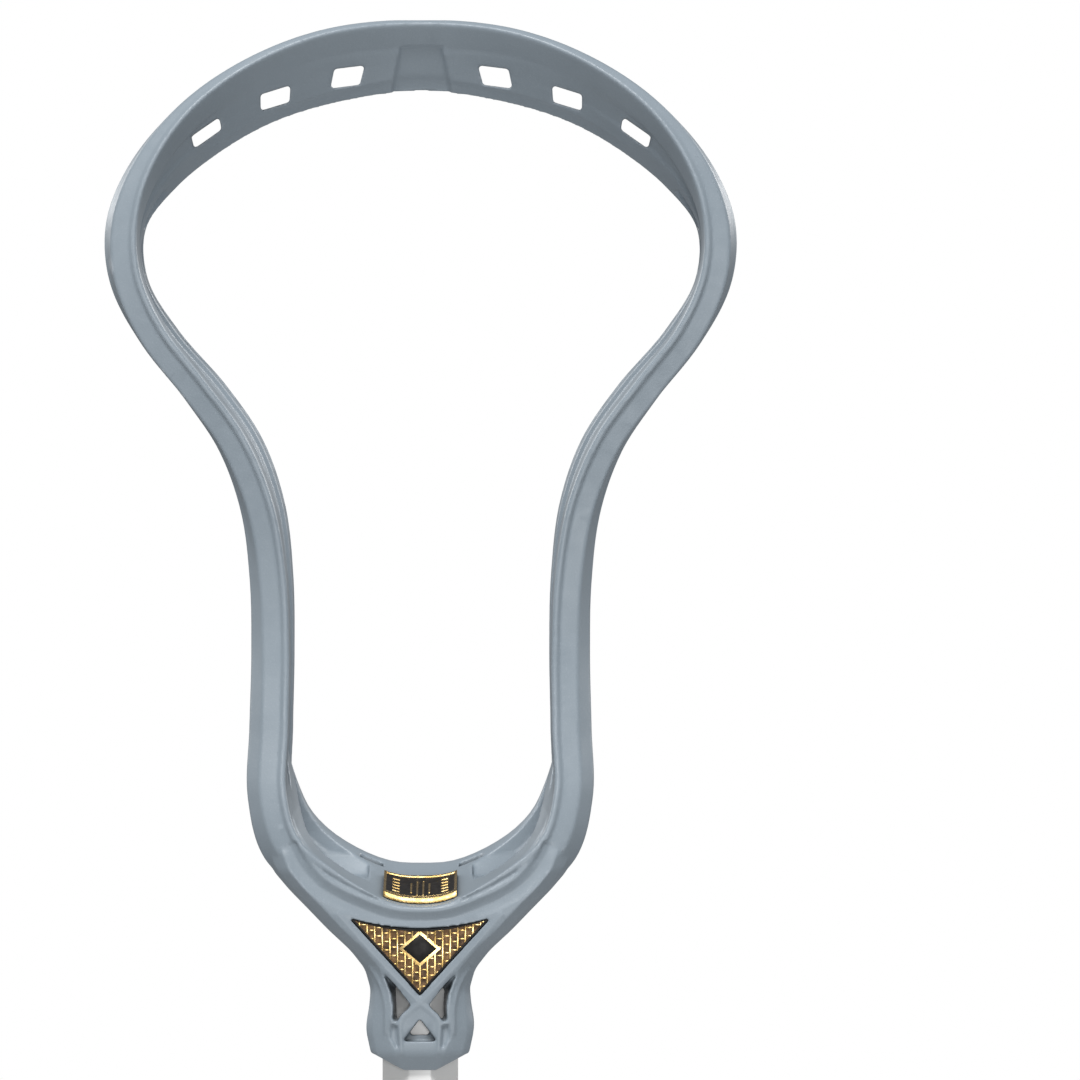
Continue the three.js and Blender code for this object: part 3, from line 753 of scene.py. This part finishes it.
def slit_tools():
    """The slits beside the badge's straps. Their outer sides slant inwards to the openings over the shaft."""
    levels = list(zip((SLIT, SLIT_FLOOR, SLIT_FLOOR), SLIT_LEVELS))
    return [loft([[(sign * x, y, z) for x, z in outline] for outline, y in levels]) for sign in (1, -1)]


def neck_tools():
    """Groups of cutters for the throat. Within a group they are separate. The first two are the screw's."""
    return [
        [bore(SCREW["shank"] + GAP, SCREW_Z, 10, 30)],
        [bore(SCREW["head"] + GAP, SCREW_Z, SCREW["seat_y"], 30)],
        socket_tool(),
        [side_panel(sign) for sign in (1, -1)],
        beside(WINDOW_OUTLINES[3]),
        low_openings(),
        [prism(rounded(SHAFT_WINDOW, 1.8), "x", -30, 30)],
        last_hole(),
        slit_tools() + [prism(rounded(FRONT_PORT, 0.5, 3), "y", -30, -15.4)],
        [prism(rounded(DEEP_PORT, 0.4, 3), "y", -30, -6)],
        [prism(rounded(side, 0.5, 3), "y", -30, -16.9) for side in both_sides(COLLAR_FACET)],
        [prism(side, "y", -40, 40) for side in both_sides(COLLAR_SIDE)],
        [prism(COLLAR_BACK, "x", -40, 40)],
        [bowl_tool()],
        [along_lip(LIP_CHANNEL)],
        [prism(rounded(side, 0.4, 3), "z", 56, 70) for side in both_sides(CREST_POCKET)],
        seat_tool(),
    ]


def head():
    side = wall()
    cut(side, [tool for outline in WINDOW_OUTLINES for tool in beside(outline)])
    for tools in (low_openings(), lacing_holes(), beside(rounded(TOP_HOLE, 0.9)), last_hole(),
                  [bowl_tool(low=True)], [along_lip(LIP_CHANNEL)], seat_tool(), socket_tool()):
        cut(side, tools)
    neck = throat()
    for tools in neck_tools():
        cut(neck, tools)
    return kept_inside(fused(joined("head", [side, neck, along_lip(LIP_BEAD)] + throat_straps())), "head_frame")


def kept_inside(obj, node):
    """Holds a piece, made in the head's frame, inside the box of its CAD body."""
    low, high = (np.array(corner) / MM - (0, 0, HEAD_Z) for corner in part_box(node))
    for v in obj.data.vertices:
        v.co = np.clip(v.co, low + 0.005, high - 0.005)
    return obj


# ---------- fine textures moulded into the head ----------
# Rows of (z, front y, back y), as for the recesses.
RIB_FIELD = [(35.8, -5.4, 7.2), (47.8, -5.2, 10)]
RIBS = {"pitch": 1.1, "height": 0.4, "sag": 1.4, "bead": 0.55, "bead_pitch": 1.9}
STIPPLE_FIELD = [(6, -4, 3.4), (12.8, -3.4, 3)]
STIPPLE = {"pitch": 1.7, "height": 0.32}
GRIP_FIELD = [(247.6, 9.2, 17.6), (256, 9.6, 17.2), (264, 10.2, 16.2), (267.6, 10.6, 14.2), (270.2, 10.9, 11.8)]
GRIP = {"row": 1.5, "width": 3.1, "height": 0.5}


def rib_height(y, z, front, back):
    """Fine curved ribs between two beaded lines."""
    pitch, height, sag, bead_height, bead_pitch = RIBS.values()
    u = (y - front) / (back - front)
    phase = (z + sag * (1 - (2 * u - 1) ** 2)) * 2 * math.pi / pitch
    ribs = height * (0.5 + 0.5 * np.cos(phase)) * ramp(np.minimum(y - front, back - y), 1.3, 1.6)
    bead = sum(np.exp(-((d - 0.8) ** 2) / 0.12) for d in (y - front, back - y))
    return ribs + bead * bead_height * (0.6 + 0.4 * np.cos(z * 2 * math.pi / bead_pitch))


def stipple_height(y, z, front, back):
    """A diagonal grid of small bumps."""
    wave = 2 * math.pi / STIPPLE["pitch"]
    return STIPPLE["height"] * np.maximum(np.cos((y + z) * wave) * np.cos((y - z) * wave), 0) ** 0.5


def grip_height(y, z, front, back):
    """Staggered rows of small lens-shaped scales."""
    pitch, width, height = GRIP.values()
    row = np.floor(z / pitch)
    u = (y / width + 0.5 * (row % 2)) % 1 - 0.5
    v = (z / pitch) % 1 - 0.5
    return height * np.sqrt(np.maximum(1 - (2.1 * u) ** 2 - (2 * v) ** 2, 0))


def texture_patch(name, tree, rows, height_at, sign, step):
    """A thin sheet on the head's skin that carries a texture, and sinks into the skin at its edges."""
    zs, front, back = np.array(rows, float).T
    z = np.arange(zs[0], zs[-1] + step / 2, step)
    u = np.linspace(0, 1, int((back - front).max() / step))
    zz, uu = np.meshgrid(z, u, indexing="ij")
    a, b = columns(rows, zz)
    yy = a + (b - a) * uu
    skin = np.array([tree.ray_cast((sign * 120, y, w), (-sign, 0, 0))[0].x for y, w in zip(yy.flat, zz.flat)])
    skin = skin.reshape(yy.shape)
    inside = np.minimum(np.minimum(yy - a, b - yy), np.minimum(zz - zs[0], zs[-1] - zz))
    rise = ramp(inside, 0, 0.35) * (0.12 + height_at(yy, zz, a, b)) - 0.1
    top, bottom = (np.stack([skin + sign * lift, yy, zz], -1) for lift in (rise, -0.6 + 0 * rise))
    return slab(name, top, bottom)


TEXTURES = [  # name, field, heights, spacing of the sheet's points
    ("panel_ribs_", RIB_FIELD, rib_height, 0.11),
    ("collar_stipple_", STIPPLE_FIELD, stipple_height, 0.16),
    ("grip_scales_", GRIP_FIELD, grip_height, 0.16),
]


def textures(body):
    mesh = body.data
    tree = BVHTree.FromPolygons([v.co for v in mesh.vertices], [p.vertices for p in mesh.polygons])
    return [texture_patch(name + side, tree, rows, height_at, sign, step)
            for side, sign in SIDES for name, rows, height_at, step in TEXTURES]


# ---------- badges ----------
BADGE_FRONT = SEAT["front"] + SEAT["depth"] - GAP - 1.5  # the throat badge's own front, y
LATTICE = {"pitch": 2.25, "bar": 0.5, "rung": 0.42, "step": 2.5}
LOZENGE = {"z": 36.2, "half": 5.6, "height": 4.8}


def throat_badge_field():
    """The recessed enamel field under the lattice."""
    return prism(seat_outline(GAP), "y", BADGE_FRONT + 0.75, BADGE_FRONT + 1.5, "throat_badge_field")


def throat_badge_rim():
    rim = prism(seat_outline(GAP), "y", BADGE_FRONT, BADGE_FRONT + 0.9, "throat_badge_rim")
    cut(rim, [prism(seat_outline(GAP + 0.55), "y", BADGE_FRONT - 1, BADGE_FRONT + 2)])
    return bevelled(rim, 0.12, 2)


def bar(x, half, z, reach, top, base):
    return prism([(x + a * half, z + b * reach) for a, b in CORNERS], "y", top, base)


def throat_badge_lattice():
    """Upright bars and staggered rungs, trimmed to the badge's outline."""
    pitch, bar_width, rung_width, step = LATTICE.values()
    top, base = BADGE_FRONT + 0.15, BADGE_FRONT + 0.85
    uprights, rungs = [], []
    for k in range(19):
        x = (k - 9) * pitch
        uprights.append(bar(x, bar_width / 2, 33.5, 13.5, top, base))
        rungs += [bar(x + pitch / 2, (pitch - bar_width) / 2, z, rung_width / 2, top + 0.2, base)
                  for z in np.arange(20 + (k % 3) * step / 3, 47, step)]
    parts = [cut(joined("lattice", group), [prism(seat_outline(GAP + 0.5), "y", -30, 0)], "INTERSECT")
             for group in (uprights, rungs)]
    return bevelled(joined("throat_badge_lattice", parts), 0.1, 2)


def lozenge(name, grow, front, back, crown):
    """A four-sided boss with a low pyramid on it. front and back are from the badge's front."""
    half, height = LOZENGE["half"] + grow, LOZENGE["height"] + grow
    outline = np.array([(0, -height), (half, 0), (0, height), (-half, 0)])
    rings = [[(x * k, BADGE_FRONT + y, LOZENGE["z"] + z * k) for x, z in outline]
             for k, y in ((1, back), (1, front + crown), (0.88, front + 0.35 * crown), (0.3, front))]
    return loft(rings, name)


STOP = {"half": 10.9, "front": -15.2, "back": 9.4, "top": 1.7, "bezel": 0.75}


def ramp_plate(x_span, y_span, low, high, cols=24, rows=30, name="strip"):
    """A plate that follows the ball stop's ramp, between two heights over it."""
    x = np.linspace(*x_span, cols)

    def row(y, lift):
        line = bowl_line(y, -lift)
        return np.column_stack([x, np.full(cols, y), np.interp(x, *line[np.argsort(line[:, 0])].T)])

    return slab(name, *(np.array([row(y, lift) for y in np.linspace(*y_span, rows)]) for lift in (high, low)))


def stop_badge_plate():
    half, front, back, _, _ = STOP.values()
    return bevelled(ramp_plate((-half, half), (front, back), GAP, 1.35, name="stop_badge_plate"), 0.2, 2)


def stop_badge_bezel():
    half, front, back, top, w = STOP.values()
    ends, inner = (front, back), (w - half, half - w)
    spans = [((-half, w - half), ends, 8), ((half - w, half), ends, 8), (inner, (back - w, back), 24),
             (inner, (front + 2.6, front + 3.3), 24)]
    strips = [ramp_plate(x, y, 0.9, top, cols) for x, y, cols in spans]
    strips.append(ramp_plate((-half, half), (front - 0.1, front + 1.6), GAP, top + 0.2))
    return bevelled(joined("stop_badge_bezel", strips), 0.22, 3)


# Plain bars in the middle and short dashes at both sides, (x, half width, y, half length, columns, rows).
INLAY = [(-2.7 + 1.8 * k, 0.28, -3, reach, 3, 18) for k, reach in enumerate((5.2, 7.8, 7.8, 5.2))]
INLAY += [(x, 1.1, -11.4 + 3.3 * k, 0.45, 6, 5) for x in (7.2, -7.2) for k in range(6)]


def stop_badge_inlay():
    strips = [ramp_plate((x - a, x + a), (y - b, y + b), 1.2, 1.6, cols, rows)
              for x, a, y, b, cols, rows in INLAY]
    return bevelled(joined("stop_badge_inlay", strips), 0.08, 2)


SIDE_STRIP = [(-6.9, 54.8), (17.4, 54.8), (13.4, 48.4), (-7.2, 48.4)]


def side_plate(outline, low, high, sign, name="strip"):
    """A plate on a side panel's slanted floor, between two heights over it."""
    rings = [[(sign * (panel_floor(z) + 0.5 + lift), y, z) for y, z in outline] for lift in (low, high)]
    return loft(rings, name)


def side_badge_plate(side, sign):
    return bevelled(side_plate(rounded(SIDE_STRIP, 0.3, 3), 0, 1, sign, "side_badge_plate_" + side), 0.12, 2)


def side_badge_gold(side, sign):
    """The gold line along the strip's lower edge, and a row of plain slanted dashes."""
    parts = [side_plate([(-7.1, 48.5), (-7.1, 49.7), (14, 49.7), (13.4, 48.5)], 0.6, 1.1, sign)]
    for k in range(6):
        y = -4.6 + 3.3 * k
        dash = [(y, 52.1), (y + 0.7, 53.1), (y + 2.7, 53.1), (y + 2, 52.1)]
        parts.append(side_plate(dash, 0.8, 1.1, sign))
    return bevelled(joined("side_badge_gold_" + side, parts), 0.08, 2)


# ---------- shaft, screw and cap ----------
SHAFT_EDGE = 1.1


def shaft():
    long, lip = SHAFT_TOP - SHAFT_BOTTOM, 0.3
    steps = [(-lip, 0), (0, lip), (0, long - lip), (-lip, long), (-SHAFT["wall"], long), (-SHAFT["wall"], 0)]
    body = octagonal("shaft_tube", steps, SHAFT_EDGE, loop=True)
    return cut(body, [bore(SCREW["shank"] + GAP, HEAD_Z + SCREW_Z - SHAFT_BOTTOM, 5, 20)])


THREAD = {"pitch": 1.25, "root": 1.3, "tip": 3.2}


def screw():
    """A pan-head screw along y with a real helical thread and a cross recess."""
    shank, length, head, head_height, seat = SCREW.values()
    pitch, root, tip = THREAD.values()
    start, angle = seat + GAP - length, circle(40)
    rings = []
    for d in np.arange(0, length - 0.6, 0.14):
        crest = 1 - np.abs(2 * ((d / pitch - angle / (2 * math.pi)) % 1) - 1)
        radius = root + (shank - root) * crest * min(1, (length - 0.6 - d) / 1.2)
        rings.append(turned(radius * min(1, 0.16 + 0.84 * d / tip), start + d, angle))
    under, top = start + length, start + length + head_height
    dome = [(root, under - 0.3), (shank, under), (head - 0.25, under), (head, under + 0.25)]
    dome.append((head, under + 0.9))
    for a in np.linspace(0.25, 1, 7) * math.pi / 2:
        dome.append((head * (0.35 + 0.65 * math.cos(a)), under + 0.9 + (head_height - 0.9) * math.sin(a)))
    rings += [turned(r, y, angle) for r, y in dome]
    body = moved(loft(rings, "screw"), (0, 0, SCREW_Z))
    arm, slot = 1.9, 0.45
    for a, b in ((arm, slot), (slot, arm)):
        deep = ((0.55, top - 1.4), (1.1, top + 0.5))
        cut(body, [loft([[(x * a * k, y, SCREW_Z + z * b * k) for x, z in CORNERS] for k, y in deep])])
    return body


CAP = {"height": 36, "floor": 5, "grow": 2.7, "round": 1.6, "edge": 2.4}
CAP_RIBS = {"low": 8, "high": 29, "pitch": 2.1, "depth": 0.55}


def end_cap():
    """A rubber cap: a rounded base with a shallow dish, grip rings round its side and a soft lip at the top."""
    height, base, grow, corner, edge = CAP.values()
    low, high, pitch, depth = CAP_RIBS.values()
    steps = [(-6, 0.6), (-5.2, 0.55), (-4.6, 0.05), (-4, 0)]
    for a in np.linspace(0, 1, 7) * math.pi / 2:
        steps.append((grow - corner * (1 - math.sin(a)), corner * (1 - math.cos(a))))
    for z in np.arange(low - 1, high + 1.2, pitch / 8):
        held = float(ramp(z, low - 0.6, low) * (1 - ramp(z, high, high + 0.6)))
        groove = max(0.0, math.sin(z * 2 * math.pi / pitch)) ** 0.6
        steps.append((grow - depth * groove * held, z))
    lip = height - 1.2
    steps += [(grow - 0.45, lip - 1.9), (grow - 0.45, lip - 1.2), (grow, lip - 0.7), (grow, lip + 0.3),
              (grow - 0.3, lip + 0.9), (grow - 0.9, height)]
    steps += [(GAP + 0.5, height), (GAP, height - 0.5), (GAP, base)]
    return octagonal("butt_cap", steps, edge)


# ---------- materials ----------
MIX_COLOURS, MIX_RESULT = (6, 7), 2  # a colour mix's own sockets: the node has a set for each data type


def node(tree, kind, inputs, output=0, **settings):
    """Adds a node and returns one of its outputs. An input is a value or another node's output."""
    made = tree.nodes.new("ShaderNode" + kind)
    for key, value in settings.items():
        setattr(made, key, value)
    for key, value in inputs.items():
        if isinstance(value, bpy.types.NodeSocket):
            tree.links.new(value, made.inputs[key])
        else:
            made.inputs[key].default_value = value
    return made.outputs[output]


class Surface:
    """A material and short ways to add nodes to it."""

    def __init__(self, name, **values):
        self.material = bpy.data.materials.new(name)
        self.material.use_nodes = True
        self.tree = self.material.node_tree
        self.shader = self.tree.nodes["Principled BSDF"]
        for key, value in values.items():
            self.shader.inputs[key.replace("_", " ")].default_value = value

    def feed(self, key, output):
        self.tree.links.new(output, self.shader.inputs[key])

    def noise(self, scale, detail=2.0, stretch=(1, 1, 1)):
        place = node(self.tree, "TexCoord", {}, "Object")
        at = node(self.tree, "Mapping", {"Vector": place, "Scale": stretch})
        return node(self.tree, "TexNoise", {"Vector": at, "Scale": scale, "Detail": detail}, "Fac")

    def range(self, value, from_low, from_high, low, high):
        return node(self.tree, "MapRange", {"Value": value, "From Min": from_low, "From Max": from_high,
                                            "To Min": low, "To Max": high})

    def mix(self, share, a, b):
        """A blend of two colours."""
        both = {MIX_COLOURS[k]: (*v, 1) if isinstance(v, tuple) else v for k, v in enumerate((a, b))}
        return node(self.tree, "Mix", {"Factor": share, **both}, MIX_RESULT, data_type="RGBA")

    def shade(self, reach, low, high):
        """A mask for painted shade: 0 deep in crevices up to 1 on open surfaces."""
        open_share = node(self.tree, "AmbientOcclusion", {"Distance": reach}, "AO", samples=8)
        return self.range(open_share, low, high, 0, 1)

    def edges(self, low, high, most):
        """How convex the surface is, from the mesh itself."""
        return self.range(node(self.tree, "NewGeometry", {}, "Pointiness"), low, high, 0, most)

    def cloud(self, scale, detail, a, b, spread=0.15):
        """A colour that drifts between a and b."""
        return self.mix(self.range(self.noise(scale, detail), 0.5 - spread, 0.5 + spread, 0, 1), a, b)

    def colour(self, output):
        self.feed("Base Color", output)

    def roughness(self, scale, detail, low, high, stretch=(1, 1, 1)):
        """Roughness that drifts between low and high."""
        self.feed("Roughness", self.range(self.noise(scale, detail, stretch), 0.3, 0.7, low, high))

    def bump(self, heights, distance):
        """Adds height maps, each with its strength, one after another."""
        under = {}
        for height, strength in heights:
            inputs = {"Height": height, "Strength": strength, "Distance": distance, **under}
            under = {"Normal": node(self.tree, "Bump", inputs)}
        self.feed("Normal", under["Normal"])
        return self.material


def nylon():
    """Satin moulded nylon: faint flow clouding, a fine mould grain, edges paler by wear and a painted
    highlight, painted shade in deep slots.
    """
    s = Surface("moulded_nylon")
    cloud = s.cloud(28, 3, (0.262, 0.312, 0.356), (0.286, 0.338, 0.384))
    speck = s.mix(s.range(s.noise(2600, 1), 0.55, 0.75, 0, 0.35), cloud, (0.37, 0.42, 0.47))
    # Painted highlight, partly real wear: convex edges are lightened towards a pale grey-blue.
    rubbed_and_highlit = s.mix(s.edges(0.52, 0.6, 0.5), speck, (0.52, 0.57, 0.62))
    # Painted shade: ambient occlusion darkens the colour towards near black deep in slots and crevices.
    s.colour(s.mix(s.shade(0.009, 0.12, 0.7), (0.055, 0.064, 0.073), rubbed_and_highlit))
    s.roughness(90, 4, 0.36, 0.48)
    return s.bump([(s.noise(1500, 2), 0.12), (s.noise(260, 2), 0.08)], 0.00025)


def gold():
    """Plated gold with a fine polish haze."""
    s = Surface("badge_gold", Metallic=1.0)
    s.colour(s.cloud(420, 3, (0.56, 0.37, 0.13), (0.72, 0.53, 0.24)))
    s.roughness(900, 4, 0.16, 0.34)
    return s.bump([(s.noise(2400, 2), 0.1)], 0.00006)


def amber():
    """The dark gold field that lies under the lattice."""
    s = Surface("badge_field", Metallic=0.6)
    s.colour(s.cloud(300, 3, (0.035, 0.017, 0.005), (0.11, 0.055, 0.014)))
    s.roughness(700, 3, 0.25, 0.45)
    return s.bump([(s.noise(1800, 2), 0.2)], 0.00008)


def enamel():
    """Black enamel with faint orange peel."""
    s = Surface("badge_enamel", Specular_IOR_Level=0.22)
    s.colour(s.cloud(500, 2, (0.010, 0.009, 0.009), (0.022, 0.020, 0.019), 0.2))
    s.roughness(800, 3, 0.38, 0.52)
    return s.bump([(s.noise(1400, 2), 0.08)], 0.00008)


def white_alloy():
    """White painted alloy: even, with faint orange peel, and slightly lighter and warmer along its convex
    edges.
    """
    s = Surface("white_alloy", Coat_Weight=0.25, Coat_Roughness=0.2)
    paint = s.cloud(14, 3, (0.80, 0.805, 0.80), (0.85, 0.85, 0.845))
    s.colour(s.mix(s.edges(0.51, 0.6, 0.3), paint, (0.88, 0.88, 0.87)))
    s.roughness(60, 4, 0.28, 0.4, (1, 1, 0.2))
    return s.bump([(s.noise(900, 2), 0.06)], 0.0001)


def steel():
    """Zinc-plated steel with turning marks round its axis."""
    s = Surface("screw_steel", Metallic=1.0)
    s.colour(s.cloud(600, 3, (0.42, 0.43, 0.45), (0.60, 0.61, 0.63)))
    s.roughness(1200, 3, 0.22, 0.42)
    return s.bump([(s.noise(700, 2, (1, 6, 1)), 0.15)], 0.00005)


def rubber():
    """Black rubber: matt, finely pitted and greyer along its convex edges."""
    s = Surface("cap_rubber")
    base = s.cloud(70, 4, (0.014, 0.014, 0.015), (0.028, 0.028, 0.029), 0.2)
    s.colour(s.mix(s.edges(0.51, 0.6, 0.5), base, (0.075, 0.075, 0.076)))
    s.roughness(300, 3, 0.62, 0.82)
    return s.bump([(s.noise(1600, 3), 0.35), (s.noise(300, 2), 0.15)], 0.0002)


# ---------- the pieces in their places ----------


def build():
    plastic, plated, field, black = nylon(), gold(), amber(), enamel()
    body = head()
    for patch in textures(body):
        place(patch, "stick", "moulded_nylon", plastic, crease=None)
    place(body, "stick", "moulded_nylon", plastic, "head_frame", crease=None)

    place(throat_badge_lattice(), "stick", "gold_badge", plated, "throat_badge")
    place(throat_badge_field(), "stick", "gold_badge", field)
    place(throat_badge_rim(), "stick", "gold_badge", black)
    place(lozenge("throat_badge_boss", 0, -0.15, 0.8, 0.6), "stick", "gold_badge", black)
    place(lozenge("throat_badge_collet", 0.6, 0.1, 0.85, 0.1), "stick", "gold_badge", plated)

    place(stop_badge_plate(), "stick", "black_badge", black, "stop_badge")
    place(stop_badge_bezel(), "stick", "black_badge", plated)
    place(stop_badge_inlay(), "stick", "black_badge", plated)

    for side, sign in SIDES:
        place(side_badge_plate(side, sign), "stick", "black_badge", black, "side_badge_" + side)
        place(side_badge_gold(side, sign), "stick", "black_badge", plated)

    place(shaft(), "stick", "white_alloy", white_alloy(), "shaft", SHAFT_BOTTOM)
    place(screw(), "head_screw", "screw_steel", steel(), "head_screw")
    place(end_cap(), "end_cap", "cap_rubber", rubber(), "end_cap", 0, 50)


build()

# ---------- studio ----------
VIEW_CENTRE = Vector((0.0357, 0, 0.8829))
VIEW_WIDTH = 0.3224
VIEW_DISTANCE = 3.6
SENSOR = 36.0
AMBIENT = 0.2
FLOOR_LEVEL = -0.036  # low enough for the cap to come off above it
FLOOR_FADE = (0.6, 2.2)  # distances from the butt between which the floor thins out
FLOOR_HALF = 4


def camera():
    data = bpy.data.cameras.new("camera")
    data.sensor_width = SENSOR
    data.lens = SENSOR * VIEW_DISTANCE / VIEW_WIDTH
    data.clip_end = 50
    obj = linked("camera", data)
    obj.location = VIEW_CENTRE - Vector((0, VIEW_DISTANCE, 0))
    obj.rotation_euler = (math.pi / 2, 0, 0)
    bpy.context.scene.camera = obj


def softbox(name, at, size, power):
    data = bpy.data.lights.new(name, "AREA")
    data.shape = "DISK"
    data.size = size
    data.energy = power
    obj = linked(name, data)
    obj.location = at
    obj.rotation_euler = (Vector((0, 0, 0.85)) - obj.location).to_track_quat("-Z", "Y").to_euler()


def studio():
    softbox("key", (-0.3, -1.5, 3.1), 1.2, 67)
    softbox("front", (0.3, -2.6, 0.8), 0.9, 17)
    softbox("back_right", (1.9, 1.7, 1.8), 1.2, 26)
    softbox("back_left", (-1.9, 1.7, 1.8), 1.2, 23)
    world = bpy.data.worlds.new("studio")
    bpy.context.scene.world = world
    world.use_nodes = True
    tree = world.node_tree
    seen = node(tree, "LightPath", {}, "Is Camera Ray")
    strength = node(tree, "MapRange", {"Value": seen, "To Min": AMBIENT, "To Max": 1.0})
    tree.links.new(strength, tree.nodes["Background"].inputs["Strength"])
    tree.nodes["Background"].inputs["Color"].default_value = (1, 1, 1, 1)
    bpy.context.scene.view_settings.view_transform = "Standard"


def floor():
    """A pale sheet that thins out into the white backdrop."""
    obj = make("floor", [(x * FLOOR_HALF, y * FLOOR_HALF, FLOOR_LEVEL) for x, y in CORNERS], [[0, 1, 2, 3]])
    s = Surface("floor", Roughness=0.7)
    s.colour(s.mix(s.noise(3, 2), (0.60, 0.60, 0.60), (0.64, 0.64, 0.64)))
    reach = node(s.tree, "VectorMath", {0: node(s.tree, "TexCoord", {}, "Object")}, "Value", operation="LENGTH")
    clear = node(s.tree, "BsdfTransparent", {})
    share = s.range(reach, *FLOOR_FADE, 0, 1)
    thinned = node(s.tree, "MixShader", {0: share, 1: s.shader.outputs[0], 2: clear})
    s.tree.links.new(thinned, s.tree.nodes["Material Output"].inputs["Surface"])
    obj.data.materials.append(s.material)


camera()
studio()
floor()
